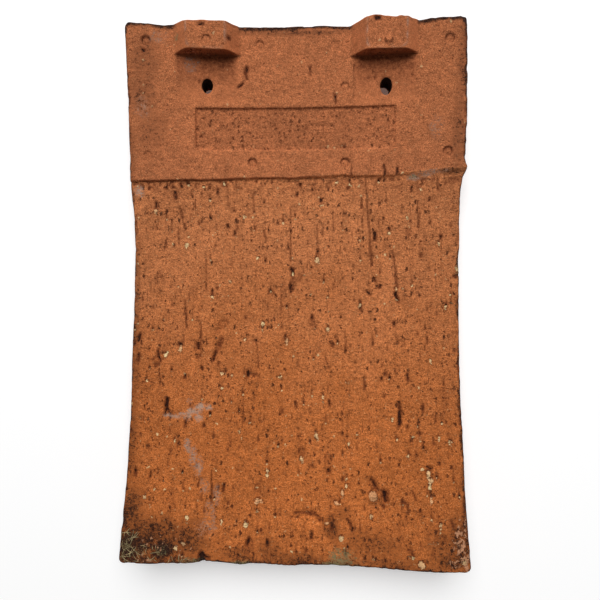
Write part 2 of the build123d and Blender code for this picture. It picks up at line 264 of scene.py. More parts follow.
# Each stone or lump that stands in its pit: place, half width, half length, height and how pale it is
STONES = [
    (155.8, 211.5, 1.1, 1.3, 0.5, 0.7), (186.6, 246, 1.0, 1.4, 0.3, 0.9), (212.6, 296.5, 0.9, 0.8, 0.3, 0.85),
    (224.8, 185, 0.8, 1.0, 0.3, 1.0), (203.9, 188, 0.7, 0.7, 0.3, 1.0), (263.4, 324.5, 0.7, 1.1, 0.3, 0.9),
    (230, 282.5, 1.0, 0.7, 0.3, 0.75), (388.5, 234.3, 0.9, 0.7, 0.4, 0.9),
    (395.4, 289.5, 1.0, 0.8, 0.5, 0.75), (407.4, 218, 0.7, 1.1, 0.3, 1.0),
    (317.4, 260.5, 1.3, 1.7, 0.4, 0.85), (327.2, 329.5, 1.2, 1.3, 0.4, 0.8), (438.4, 243, 0.6, 0.9, 0.3, 0.8),
    (445.6, 307.8, 0.6, 0.9, 0.3, 0.9), (359.8, 304.5, 0.6, 0.7, 0.2, 0.9), (456.6, 268, 0.6, 1.7, 0.2, 0.9),
    (166.4, 355.5, 0.65, 1.6, 0.3, 1.0), (180.7, 349, 0.8, 1.6, 0.3, 0.7), (198.6, 352, 1.6, 1.6, 0.5, 0.3),
    (221.9, 372.8, 0.9, 1.0, 0.3, 0.8), (222.7, 388, 0.8, 0.7, 0.2, 1.0), (232.4, 376, 0.7, 0.7, 0.3, 0.8),
    (147.6, 384.5, 2.3, 1.7, 0.5, 0.45), (175.2, 440, 0.6, 1.4, 0.2, 1.0), (239.3, 431, 0.6, 0.9, 0.2, 1.0),
    (287, 341.5, 1.1, 1.8, 0.5, 0.62), (280.5, 376.7, 0.8, 0.8, 0.3, 0.85), (250.5, 378, 2.0, 2.2, 0.6, 0.15),
    (255.8, 379.5, 1.9, 2.2, 0.6, 0.15), (322.6, 397.5, 0.6, 1.8, 0.2, 0.8), (316.4, 436, 0.8, 2.2, 0.4, 0.8),
    (300.2, 437.3, 1.3, 1.4, 0.5, 0.25), (327.2, 331, 0.8, 0.8, 0.2, 0.9), (392, 419.5, 0.7, 1.0, 0.3, 0.9),
    (430.7, 362, 0.8, 1.0, 0.3, 0.9), (347.3, 381.7, 0.8, 0.9, 0.2, 0.9), (419.7, 439.5, 0.7, 0.9, 0.2, 0.9),
    (449.8, 443, 0.9, 1.4, 0.3, 0.9), (357.2, 434.2, 0.6, 0.7, 0.2, 0.9), (348.6, 444, 0.6, 0.7, 0.2, 0.9),
    (438.6, 438.5, 0.5, 1.4, 0.2, 0.9), (155.3, 488.5, 0.8, 0.8, 0.2, 0.9), (145, 497, 0.6, 1.3, 0.2, 0.8),
    (187, 517, 1.0, 1.0, 0.3, 0.95), (186.6, 521.5, 0.5, 1.0, 0.2, 0.9), (176, 547.5, 1.2, 0.9, 0.3, 0.9),
    (183.2, 544, 1.3, 0.6, 0.2, 0.75), (221.4, 521.5, 0.5, 1.0, 0.2, 0.9), (301.9, 459, 1.2, 1.4, 0.6, 0.8),
    (267.5, 471, 1.0, 0.85, 0.3, 0.85), (267, 475, 0.9, 0.8, 0.3, 0.9), (258.4, 501, 2.1, 1.3, 0.4, 0.58),
    (257, 511, 0.7, 0.9, 0.2, 0.9), (246.3, 524.4, 1.0, 1.5, 0.4, 0.95), (346, 485.5, 0.9, 1.0, 0.3, 0.9),
    (346, 478.8, 0.6, 0.8, 0.2, 0.8), (342, 493, 0.9, 1.9, 0.3, 0.6), (294.3, 519.5, 1.8, 1.5, 0.4, 0.2),
    (341.2, 538.3, 1.2, 1.2, 0.4, 0.85), (292.2, 551.2, 0.7, 0.6, 0.2, 1.0), (373, 496, 2.0, 2.6, 0.5, 0.52),
    (427.8, 474.5, 1.2, 1.7, 0.6, 0.8), (430.4, 480.5, 1.2, 1.1, 0.5, 0.75),
    (429.6, 486.8, 0.7, 1.7, 0.3, 0.95), (431, 498.5, 0.6, 1.4, 0.2, 0.6), (408.3, 456.5, 0.6, 1.2, 0.2, 0.9),
    (370.8, 517, 0.75, 1.2, 0.2, 0.7), (440.5, 525.5, 0.7, 1.2, 0.2, 0.85), (440.3, 531, 0.6, 0.9, 0.2, 0.8),
    (412.5, 557.5, 0.9, 1.0, 0.3, 1.0), (408.6, 558, 0.9, 0.5, 0.2, 0.8), (421.5, 565, 1.5, 1.8, 0.4, 0.72),
    (434, 543, 1.9, 0.5, 0.1, 0.6), (384.8, 499, 1.3, 1.3, 0.4, 0.35), (157, 359.5, 1.7, 1.5, 0.6, 0.15),
    (464, 562.5, 1.4, 1.0, 0.3, 0.85), (337, 503.5, 1.5, 1.0, 0.3, 0.54), (327, 522.5, 0.9, 0.5, 0.2, 0.6),
    (244.4, 217.3, 0.5, 0.9, 0.2, 0.85), (291.5, 259.2, 0.7, 0.6, 0.3, 0.9),
    (257.6, 257.5, 0.6, 0.6, 0.2, 1.0), (311, 294.2, 0.6, 0.6, 0.2, 0.9), (327.1, 297.1, 0.7, 0.7, 0.2, 1.0),
    (245, 340.2, 0.7, 0.7, 0.2, 0.75), (278.3, 325.2, 0.5, 0.6, 0.2, 0.9), (299.6, 204.7, 0.6, 0.6, 0.2, 0.8),
    (321, 206, 0.9, 0.5, 0.2, 0.8), (337.4, 182.5, 0.7, 0.5, 0.2, 0.9), (350.3, 185.5, 0.8, 0.5, 0.2, 1.0),
    (292.3, 274, 0.6, 0.9, 0.3, 1.0),
]

# A flap of clay: place, half width, half length and height
CLAY_FLAP = (308, 524.5, 6.2, 5.6, 0.7)

# How pale a stone is at most when it is a lump of clay
CLAY_LUMP = 0.5

# Small stones dragged along: the cell that each one has, across and along, and how many cells have one
SCATTER_CELL = (6.4, 8.6)
SCATTER_SHARE = 0.5

# Noises of the skin, each a height, a cell across, a cell along and a seed; an even noise is one long cell
EVEN = 1e6
SHAKE_ACROSS = [(0.32, 2.1, 2.4, 43), (0.22, 1.2, 1.6, 44)]
SHAKE_ALONG = [(0.4, 2.3, 2.6, 45)]
PANEL_SKIN = [(0.16, 2.6, 2.4, 41), (0.1, 1.3, 1.4, 42)]
TORN_SKIN = [(0.14, 2.2, 26.0, 51), (0.1, 1.4, 5.0, 52), (0.12, 3.6, 3.2, 53), (0.16, 9.0, 11.0, 54)]
SWELL = [(0.22, 34.0, 40.0, 55)]

# Stains, each a place, half width, half length and strength
LIME_SMEARS = [
    (139, 191, 2.6, 3.0, 0.75), (167, 415.5, 2.6, 1.3, 0.8), (176, 416.5, 3.4, 1.1, 0.65),
    (186, 415, 3.6, 1.4, 0.75), (194, 411, 3.4, 1.6, 0.95), (201, 407, 3.2, 2.0, 1.0),
    (208, 407.5, 2.2, 1.5, 0.85), (198.5, 417.5, 2.2, 2.4, 0.8), (188, 417.5, 2.0, 1.6, 0.75),
    (189.5, 401, 1.8, 1.4, 0.5), (187.5, 446, 2.0, 3.2, 0.65), (193, 456, 2.2, 4.6, 0.65),
    (199, 466, 2.2, 5.0, 0.65), (204, 487, 2.6, 5.0, 0.48), (217, 495, 2.0, 5.0, 0.55),
    (206, 527, 6.0, 5.0, 0.36), (209, 508, 3.0, 6.0, 0.34), (213, 513, 2.4, 3.0, 0.38),
    (414, 177.5, 3.8, 1.7, 0.68), (425, 174.5, 4.0, 1.7, 0.6), (436, 172, 4.2, 1.3, 0.56),
    (445, 170.5, 3.0, 1.1, 0.5), (190, 65, 4.5, 4.0, 0.38), (197, 62, 2.4, 4.4, 0.28),
    (437, 126, 5.0, 7.0, 0.26), (158, 36, 6.0, 4.0, 0.36), (141, 106, 5.0, 7.0, 0.35),
]
SOOT_STAINS = [
    (130, 548, 9.0, 12.0, 1.0), (162, 548, 9.0, 7.0, 1.0), (150, 538, 17.0, 10.0, 0.8),
    (186, 543, 11.0, 11.0, 0.62), (126, 516, 8.0, 16.0, 0.74), (140, 561, 14.0, 3.4, 0.85),
    (172, 561, 14.0, 2.4, 0.7), (130, 450, 3.4, 26.0, 0.5), (135, 380, 2.6, 22.0, 0.42),
    (137, 300, 2.2, 32.0, 0.4), (460, 545, 5.0, 13.0, 0.72), (451, 561, 10.0, 6.0, 0.64),
    (465, 529, 2.4, 9.0, 0.75), (444, 548, 9.0, 9.0, 0.44), (300, 562, 24.0, 4.0, 0.62),
    (395, 565, 26.0, 3.2, 0.48), (240, 556, 14.0, 5.0, 0.5), (267, 550, 8.0, 6.0, 0.5),
    (372, 545, 20.0, 8.0, 0.42), (332, 528, 5.0, 6.0, 0.55), (343, 513, 5.0, 4.0, 0.45),
    (458, 130, 3.0, 30.0, 0.4), (463, 60, 2.4, 22.0, 0.42), (130, 150, 2.4, 16.0, 0.42),
    (452, 171, 6.0, 1.6, 0.6), (146, 60, 8.0, 14.0, 0.36), (142, 96, 7.0, 14.0, 0.38),
    (152, 130, 9.0, 11.0, 0.36), (375, 501, 3.6, 2.6, 0.5), (290, 33, 34.0, 1.4, 0.5),
    (415, 178, 3.0, 1.2, 0.5), (425, 179, 2.4, 1.0, 0.5),
]
LICHEN_STAINS = [
    (343, 560, 6.6, 4.2, 0.88), (338, 563.5, 6.0, 1.4, 0.9), (240, 562.5, 5.0, 1.2, 0.8),
    (126, 548, 3.4, 7.0, 0.28), (163, 550, 4.0, 3.0, 0.32), (190, 561, 7.0, 1.4, 0.45),
    (464, 562, 2.0, 1.8, 0.4), (177, 39, 1.2, 2.2, 0.8), (413, 177, 2.2, 0.9, 0.6), (143, 551, 4.0, 3.4, 0.3),
]
FLAKE_STAINS = [
    (460, 541, 3.6, 9.0, 1.0), (465, 556, 3.0, 8.0, 1.0), (456, 563, 5.0, 3.0, 0.85),
    (466, 530, 1.6, 6.0, 0.85), (152, 545, 15.0, 9.0, 0.52), (131, 548, 6.0, 10.0, 0.46),
    (180, 547, 9.0, 8.0, 0.48), (146, 561, 10.0, 2.0, 0.66),
]

# Bumps of the edges in plan: pixel along the edge, half width and how far it stands out
TAIL_EDGE_BUMPS = [
    (126, 6.0, -0.9), (209, 5.5, -0.7), (240, 5.0, 0.4), (160, 22.0, -0.1), (289, 7.0, 0.7), (398, 8.0, 0.4),
    (440, 9.0, 0.9), (458, 12.0, -1.0),
]
HEAD_EDGE_BUMPS = [
    (134, 7.0, -0.4), (163, 6.0, -0.7), (270, 22.0, -0.5), (346, 9.0, -1.2), (371.5, 4.0, 0.9),
    (392, 4.0, -0.6), (411, 4.5, -0.9), (458, 14.0, -0.8),
]
LEFT_EDGE_BUMPS = [(191, 7.0, 0.5), (253, 8.0, -0.5), (350, 20.0, 0.6), (522, 12.0, 0.35)]
RIGHT_EDGE_BUMPS = [
    (34, 5.0, 0.4), (110, 6.0, 0.4), (172, 4.0, 0.2), (262, 5.0, -0.6), (432, 9.0, 0.35), (464, 9.0, 0.4),
    (540, 22.0, 0.6),
]

# Pixel rows of the head and tail edges, and pixel columns of the sides, on which the bumps are read
END_ROWS = (30, 560)
SIDE_COLUMNS = (140, 460)

# How far from an end its edge strays, how sharply the columns follow the sides, and how short the tail is
END_REACH = 15.0
SIDE_PULL = 14
TAIL_SHORT = 0.8

# Where the sides of the body pass into those of the head
HEAD_FADE = (50.0, 66.0)

# Burr on one side by the head step: place along the tile, half width and how far it stands out
SIDE_BURR = (60.4, 2.2, 1.1)

# Soot and painted shade along the edges of the face, soot down the walls, and chips out of the edges
EDGE_SOOT_AND_SHADE = {"head": 1.0, "tail": 0.8, "left": 0.6, "right": 0.75}
EDGE_DARK_REACH = 1.6
HEAD_DARK_REACH = 1.1
END_DARK_ZONE = 6.0
WALL_SOOT = 0.8
WALL_SOOT_DROP = (6.0, 0.5)
CHIP_REACH = (2.6, 0.4)
CHIP_DEPTH = 0.8

# Finish values where nothing is marked
PLAIN_VALUES = {
    "stone": -1.0, "pale": 0.5, "groove_and_shade": 0.0, "drag": -1.0, "panel": 0.0, "rub": 0.0, "lump_and_highlight": 0.0,
    "calm": 0.0,
}

# Root fibres: each patch is a place, half width, half length and count
FIBRE_PATCHES = [
    (126, 545, 2.4, 6.6, 15), (131, 554, 2.6, 3.4, 9), (135, 542, 2.4, 3.2, 4), (147, 553, 5.0, 3.4, 10),
    (177, 560, 6.0, 1.0, 6),
]
FIBRE_RADIUS = 0.115
FIBRE_LENGTHS = (2.0, 6.0)
FIBRE_LIFT = 0.35
FIBRE_STEPS = 9
FIBRE_SIDES = 6

# Wave lengths of the clay's noises, in millimetres
CLAY_WAVES = {
    "wide": 30.0, "cluster": 9.0, "mottle": 4.5, "ripple": 2.4, "crumble": 1.6, "fine": 0.5,
    "streak": 1.2, "chips": 1.5,
}

# Scattered spots in the clay: cell in millimetres, radius, share of the cells, softness and length
CLAY_SPOTS = {
    "specks": (1.2, 0.42, 0.44, 0.2, 1.1), "crumbs": (2.2, 0.38, 0.7, 0.16, 1.9),
    "grains": (1.9, 0.62, 0.75, 0.4, 1.0), "grit": (4.2, 0.18, 0.34, 0.08, 1.2),
    "dust": (1.5, 0.3, 0.5, 0.2, 1.0),
}
FIBRE_WAVE = 1.6

# Studio, in metres: the floor's glow rises from one distance to another, from one strength to another
FLOOR_REACH = 4.0
TILE_ASPECT = 0.64
NEAR_GLOW = (0.07, 0.085, 0.05, 0.28)
FAR_GLOW = (0.2, 0.9, 0.0, 0.75)
KEY_SIZE = 1.8
KEY_PLACE = (0.05, 1.0, 1.72)


def length_property(name, text, value):
    """A length property in metres, from a size in millimetres."""
    return FloatProperty(name=name, description=text, default=value * MM, min=0.0, unit="LENGTH", precision=5)


def colour_property(name, text, value):
    """A colour property, from display values of 0 to 255."""
    return FloatVectorProperty(
        name=name, description=text, default=linear(value), size=3, min=0.0, max=1.0, subtype="COLOR"
    )


def linear(display):
    """Display values of 0 to 255 as the linear light that the renderer works in."""
    share = np.asarray(display, float) / 255.0
    light = np.where(share <= 0.04045, share / 12.92, ((share + 0.055) / 1.055) ** 2.4)
    return tuple(float(value) for value in light)


class TileSizes(bpy.types.PropertyGroup):
    """Sizes of the tile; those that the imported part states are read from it."""

    length: length_property("Length", "From tail to head", (CAD_HIGH.y - CAD_LOW.y) / MM)
    head_width: length_property("Head width", "Across the pressed head zone", (CAD_HIGH.x - CAD_LOW.x) / MM)
    tail_width: length_property("Tail width", "Across the tail", 165.0)
    waist_width: length_property("Waist width", "Across the narrowest part", 163.4)
    shoulder_width: length_property("Shoulder width", "Across, just under the flare of the head zone", 164.7)
    thickness: length_property("Thickness", "Of the body", 11.0)
    head_step: length_property("Head step", "How far the pressed head zone stands proud", 1.6)
    long_camber: length_property("Long camber", "Rise of the ends above the middle", 13.0)
    cross_camber: length_property("Cross camber", "Rise of the sides above the middle", 4.5)
    nib_height: length_property("Nib height", "Of a nib above the face", 7.6)
    nib_base_width: length_property("Nib base width", "Of a nib at its foot", 32.0)
    nib_top_width: length_property("Nib top width", "Of a nib at its top", 19.2)
    panel_depth: length_property("Panel depth", "Of the sunk stamp panel", 0.9)
    seed: IntProperty(name="Seed", description="Picks the scatter of small pits and grit", default=7, min=0)


class ClayColours(bpy.types.PropertyGroup):
    """Colours of the fired clay and of what has settled on it."""

    body: colour_property("Body clay", "Torn clay of the upper body", (208, 127, 78))
    tail: colour_property("Tail clay", "Warmer clay towards the tail", (202, 113, 55))
    head: colour_property("Head clay", "Pressed, dusty clay of the head zone", (194, 115, 72))
    # This colour is also laid as painted shade: below the nibs, in the panel's walls, round screw prints,
    # stones and pits, and at the head step
    shade: colour_property("Groove", "Bottom of the drags", (94, 42, 22))
    # The pit colour is painted shade inside pits and nail holes, and also the blackest soot
    pit: colour_property("Pit", "Inside of the pits", (34, 17, 13))
    grit: colour_property("Grit", "Pale grit and stones", (255, 221, 163))
    pebble: colour_property("Pebble", "Pinkish stones", (246, 176, 122))
    lime: colour_property("Lime", "Lime smears", (186, 160, 142))
    # This colour lays real soot, and also painted shade on the nibs' batten faces and along the edges of the
    # face
    soot_and_shade: colour_property("Soot", "Soot and damp stains", (44, 29, 22))
    flake: colour_property("Flake", "Flaking crust over the soot", (218, 156, 116))
    lichen: colour_property("Lichen", "Grey-green growth", (124, 124, 88))
    fibre: colour_property("Root fibre", "Dry root fibres", (182, 162, 118))


class StudioSettings(bpy.types.PropertyGroup):
    """Light and floor of the plain studio."""

    key: FloatProperty(
        name="Key light", description="Power of the soft light over the head", default=43.0, unit="POWER"
    )
    sky: FloatProperty(name="Sky", description="Strength of the even light from all around", default=0.075)
    floor: FloatVectorProperty(
        name="Floor", description="Colour of the floor", default=(0.88, 0.88, 0.88), size=3, subtype="COLOR"
    )


def smooth(low, high, value):
    """An S-shaped rise from 0 at low to 1 at high: 3 t squared less 2 t cubed."""
    t = np.clip((value - low) / (high - low), 0.0, 1.0)
    return t * t * (3.0 - 2.0 * t)


def soft_min(a, b, rounding):
    """The smaller of two heights, with the crease between them rounded by a parabola."""
    share = np.clip(0.5 + 0.5 * (b - a) / rounding, 0.0, 1.0)
    return b + (a - b) * share - rounding * share * (1.0 - share)


def outside_of(over_x, over_y, corner):
    """Distance out of a rectangle with round corners, from how far past its sides a place is."""
    qx, qy = over_x + corner, over_y + corner
    return np.hypot(np.maximum(qx, 0.0), np.maximum(qy, 0.0)) + np.minimum(np.maximum(qx, qy), 0.0) - corner


def lattice(i, j, seed):
    """A seeded number from 0 to 1 for each whole-number grid point: the fraction of a large sine."""
    value = np.sin(i * 127.1 + j * 311.7 + seed * 74.7) * 43758.5453
    return value - np.floor(value)


def noise(x, y, cell_x, cell_y, seed):
    """Smooth noise from -1 to 1: the four lattice numbers around a point, mixed by an S-shaped rise."""
    u, v = x / cell_x, y / cell_y
    i, j = np.floor(u), np.floor(v)
    s, t = smooth(0.0, 1.0, u - i), smooth(0.0, 1.0, v - j)
    low = lattice(i, j, seed) * (1.0 - s) + lattice(i + 1, j, seed) * s
    high = lattice(i, j + 1, seed) * (1.0 - s) + lattice(i + 1, j + 1, seed) * s
    return 2.0 * (low * (1.0 - t) + high * t) - 1.0


def layered(x, y, layers):
    """The sum of some noises, each with its height, its cells and its seed."""
    return sum(height * noise(x, y, cell_x, cell_y, seed) for height, cell_x, cell_y, seed in layers)


def slanted(x, y):
    """Places turned by about 37 degrees, so that noise doesn't line up with the edges of the tile."""
    return 0.8 * x + 0.6 * y, 0.8 * y - 0.6 * x


def to_segment(x, y, ax, ay, bx, by):
    """Distance from each point to the straight line between two ends, and how far along it from 0 to 1."""
    dx, dy = bx - ax, by - ay
    along = np.clip(((x - ax) * dx + (y - ay) * dy) / max(dx * dx + dy * dy, 1e-9), 0.0, 1.0)
    return np.hypot(x - ax - along * dx, y - ay - along * dy), along


def stations(stops):
    """Grid lines through the stops: each gap, given with its spacing, is divided evenly into threes."""
    lines = [np.array([stops[0][0]])]
    for (start, _), (end, spacing) in zip(stops, stops[1:]):
        steps = COARSE * max(1, round((end - start) / spacing / COARSE))
        lines.append(np.linspace(start, end, steps + 1)[1:])
    return np.concatenate(lines)


def turn_matrix(turn):
    """Rotation about X, then Y, then Z, as seen from the turned axes: the product of the three."""
    return np.array(
        Matrix.Rotation(turn[0], 3, "X") @ Matrix.Rotation(turn[1], 3, "Y") @ Matrix.Rotation(turn[2], 3, "Z")
    )


def camera_frame():
    """The camera's axes as columns, and its place in millimetres."""
    axes = turn_matrix(CAMERA_TURN)
    return axes, axes @ np.array(CAMERA_OFFSET) + np.array((0.0, 0.0, CAMERA_TARGET_HEIGHT))


class TileForm:
    """The curved faces and the outline of the tile in millimetres, from the sizes in the panel."""

    def __init__(self, sizes):
        self.sizes = sizes
        self.half_length = sizes.length / MM / 2
        self.half_width = sizes.head_width / MM / 2
        self.body = sizes.thickness / MM
        self.step = sizes.head_step / MM
        self.top = self.body + self.step
        self.long_radius = self.arc_radius(sizes.length / MM, sizes.long_camber / MM)
        self.cross_radius = self.arc_radius(sizes.tail_width / MM, sizes.cross_camber / MM)
        self.axis = self.body + self.long_radius
        self.seed = sizes.seed
        self.step_points = self.on_face(STEP_PIXELS)

    @staticmethod
    def arc_radius(chord, rise):
        """Radius of the arc that rises by this much over this chord."""
        return (chord**2 / 4 + rise**2) / (2 * rise)

    def level(self, x, y, height):
        """Level of the face this high above the back: an arc across, swung about the camber's axis."""
        radius = self.cross_radius + self.body - height
        arm = self.axis - height - (radius - np.sqrt(radius**2 - x**2))
        return self.axis - np.sqrt(arm**2 - y**2)

    def normal(self, x, y, height):
        """Upward unit normal of that face, from the slopes of the two arcs."""
        radius = self.cross_radius + self.body - height
        across = np.sqrt(radius**2 - x**2)
        arm = self.axis - height - (radius - across)
        along = np.sqrt(arm**2 - y**2)
        slopes = np.stack([-arm / along * x / across, -y / along, np.ones_like(along)], axis=-1)
        return slopes / np.linalg.norm(slopes, axis=-1, keepdims=True)

    def side(self, y):
        """Half width along the tile: a parabola through tail, waist and shoulder, then the flare."""
        sizes = self.sizes
        widths = (sizes.tail_width, sizes.waist_width, sizes.shoulder_width)
        tail, waist, shoulder = (width / MM / 2 for width in widths)
        curve = np.polyfit([-self.half_length, WAIST_Y, SHOULDER_Y], [tail, waist, shoulder], 2)
        slope = 2 * curve[0] * SHOULDER_Y + curve[1]
        reach = FLARE_Y - SHOULDER_Y
        bend = (self.half_width - shoulder - slope * reach) / reach**2
        run = np.clip(y - SHOULDER_Y, 0.0, reach)
        return np.where(y < SHOULDER_Y, np.polyval(curve, y), shoulder + slope * run + bend * run**2)

    def step_line(self, x):
        """Lower edge of the head zone: straight stretches between the places read from the photograph."""
        return np.interp(x, self.step_points[:, 0], self.step_points[:, 1]) + 0.15 * noise(x, x, 4.0, EVEN, 3)

    def on_face(self, pixels):
        """Where the sight lines through some pixels meet the nib face, found by a few rounds of levelling."""
        axes, eye = camera_frame()
        pixels = np.asarray(pixels, float)
        half = PHOTO_PIXELS / 2
        sight = np.stack(
            [(pixels[..., 0] - half) / FOCAL_PIXELS, (half - pixels[..., 1]) / FOCAL_PIXELS,
             -np.ones(pixels.shape[:-1])], axis=-1
        ) @ axes.T
        level = np.full(pixels.shape[:-1], self.body)
        for _ in range(LEVELLING_ROUNDS):
            point = eye + sight * ((level - eye[2]) / sight[..., 2])[..., None]
            in_head = point[..., 1] > STEP_Y + STEP_CLIMB * point[..., 0]
            level = self.level(point[..., 0], point[..., 1], np.where(in_head, self.top, self.body))
        return point[..., :2]


def plan_grid(form):
    """Plan places of the fine grid: columns and rows, bent to the step and to the outline."""
    half, end = form.half_width, form.half_length
    hole = MOUNTS["nail_hole_right"]["pos_m"]
    hole_x, hole_y = hole[0] / MM, hole[1] / MM
    nib_y = nib_front(form)
    wall = PANEL_WALL
    panel_low, panel_high = PANEL_Y - PANEL_HALF_HEIGHT, PANEL_Y + PANEL_HALF_HEIGHT
    right = [
        (0.0, None), (hole_x - HOLE_BLOCK[0], COLUMN_SPACING), (hole_x + HOLE_BLOCK[0], HOLE_SPACING),
        (PANEL_HALF_LENGTH - wall, COLUMN_SPACING), (PANEL_HALF_LENGTH + wall, PANEL_WALL_SPACING),
        (half - RIM, COLUMN_SPACING), (half, RIM_SPACING),
    ]
    half_columns = stations(right)
    columns = np.concatenate([-half_columns[:0:-1], half_columns])
    rows = stations([
        (-end, None), (-end + RIM, RIM_SPACING),
        (STEP_Y + STEP_ROW_BAND[0], BODY_ROW_SPACING), (STEP_Y + STEP_ROW_BAND[1], STEP_ROW_SPACING),
        (panel_low - wall, HEAD_ROW_SPACING), (panel_low + wall, PANEL_WALL_SPACING),
        (panel_high - wall, HEAD_ROW_SPACING), (panel_high + wall, PANEL_WALL_SPACING),
        (hole_y - HOLE_BLOCK[1], HEAD_ROW_SPACING), (hole_y + HOLE_BLOCK[1], HOLE_SPACING),
        (nib_y, HEAD_ROW_SPACING), (nib_y + NIB_WALL, NIB_WALL / NIB_WALL_ROWS),
        (end - RIM, HEAD_ROW_SPACING), (end, RIM_SPACING),
    ])
    a, y = np.meshgrid(columns / half, rows)
    rim = np.minimum((1.0 - np.abs(a)) * half, end - np.abs(y))
    y = lean_rows(y, STEP_Y, STEP_REACH, form.step_line(a * half) - STEP_Y)
    y = lean_rows(y, nib_y, NIB_WALL_REACH, nib_line(form, a * half) - nib_y)
    x = a * form.side(y)
    x, y = round_corners(form, x, y)
    x = x + np.sign(a) * np.abs(a) ** SIDE_PULL * side_waver(form, y, a)
    at_head, at_tail = smooth(end - END_REACH, end, y), smooth(end - END_REACH, end, -y)
    y = y + at_head * end_waver(form, x, 1) - at_tail * end_waver(form, x, -1)
    blocks = []
    for name, fit in HOLE_MOUTHS.items():
        centre = np.array(MOUNTS[name]["pos_m"][:2]) / MM
        x, y, block = open_hole(x, y, centre, fit)
        blocks.append((fit, block))
    return x, y, rim, blocks


def lean_rows(y, place, reach, shift):
    """Moves the rows at a place along the tile by a shift that fades to nothing at both ends of a reach."""
    low, high = reach
    lean = np.where(y < place, (y - low) / (place - low), (high - y) / (high - place))
    return y + shift * np.clip(lean, 0.0, 1.0)


def nib_front(form):
    """Place along the tile of the nibs' batten faces, at their foot."""
    face = MOUNTS["nib_right"]
    lean = np.array(face["axis"])
    up = form.sizes.nib_height / MM / 2
    return face["pos_m"][1] / MM - up * lean[2]


def nib_line(form, x):
    """Foot of the nibs' batten faces: each nib has its own place, with an S-shaped change between."""
    left, right = NIB_FITS["nib_left"]["shift"][1], NIB_FITS["nib_right"]["shift"][1]
    return nib_front(form) + left + (right - left) * smooth(*NIB_GAP, x)


def round_corners(form, x, y):
    """Turns each square corner into a quarter circle: the square's rings become rings of the circle."""
    inner_x = form.side(y) - CORNER_RADIUS
    inner_y = form.half_length - CORNER_RADIUS
    dx = np.maximum(np.abs(x) - inner_x, 0.0)
    dy = np.maximum(np.abs(y) - inner_y, 0.0)
    length = np.hypot(dx, dy)
    shrink = np.where(length > 0, np.maximum(dx, dy) / np.maximum(length, 1e-9), 1.0)
    new_x = np.where(dx * dy > 0, np.sign(x) * (inner_x + dx * shrink), x)
    new_y = np.where(dx * dy > 0, np.sign(y) * (inner_y + dy * shrink), y)
    return new_x, new_y


def side_waver(form, y, a):
    """How far the sides stray from their line: bumps read from the photograph, noise and a burr."""
    side = np.sign(a)
    right = side > 0
    head = smooth(*HEAD_FADE, y)
    stray = 0.1 * noise(y, side, 16.0, EVEN, 11) + 0.08 * noise(y, side * 9, 4.5, 3.0, 12)
    stray = stray + (0.06 + 0.2 * head * right) * noise(y, side * 9, 2.0, 3.0, 13)
    for column, bumps in zip(SIDE_COLUMNS, (LEFT_EDGE_BUMPS, RIGHT_EDGE_BUMPS)):
        on_side = right == (column > PHOTO_PIXELS / 2)
        for pixel, reach, size in bumps:
            middle = form.on_face([[column, pixel]])[0, 1]
            stray = stray + on_side * size * np.exp(-(((y - middle) / reach) ** 2))
    place, reach, size = SIDE_BURR
    burr = size * np.exp(-(((y - place) / reach) ** 2))
    waist = 0.5 * smooth(20.0, 55.0, y) * (1.0 - head)
    waist = waist + 0.5 * smooth(70.0, 118.0, y) + 0.9 * smooth(112.0, 131.0, y)
    return stray + np.where(right, burr - waist, -0.8 * head)


def end_waver(form, x, end):
    """How far the head or tail edge strays outwards: its dip, bumps read from the photograph, and noise."""
    head = (HEAD_EDGE_DIP, 0.0, HEAD_EDGE_BUMPS, END_ROWS[0])
    tail = (TAIL_EDGE_DIP, TAIL_SHORT, TAIL_EDGE_BUMPS, END_ROWS[1])
    dip, short, bumps, row = head if end > 0 else tail
    stray = -dip * (1.0 - (x / form.half_width) ** 2) - short
    for pixel, reach, size in bumps:
        middle = form.on_face([[pixel, row]])[0, 0]
        stray = stray + size * np.exp(-(((x - middle) / reach) ** 2))
    ragged = 0.1 + 0.25 * smooth(30.0, 60.0, x) * (end > 0)
    return stray + 0.12 * noise(x, x, 5.0, EVEN, 21 + end) + ragged * noise(x, x, 1.9, EVEN, 24 + end)


def open_hole(x, y, centre, fit):
    """Opens a block of the grid to an oval: its square rings become oval rings, fading out around it."""
    u, v = (x - centre[0]) / HOLE_BLOCK[0], (y - centre[1]) / HOLE_BLOCK[1]
    ring = np.maximum(np.abs(u), np.abs(v))
    length = np.maximum(np.hypot(u, v), 1e-9)
    share = 1.0 - smooth(1.0, HOLE_REACH, ring)
    egg = 1.0 - 0.12 * np.clip(-v / length, 0.0, 1.0)
    new_x = x + (centre[0] + fit["shift"][0] + fit["mouth"][0] * egg * ring * u / length - x) * share
    new_y = y + (centre[1] + fit["shift"][1] + fit["mouth"][1] * ring * v / length - y) * share
    rows, columns = np.nonzero(ring < 1.0 + HOLE_TOLERANCE)
    return new_x, new_y, (rows.min(), rows.max(), columns.min(), columns.max())


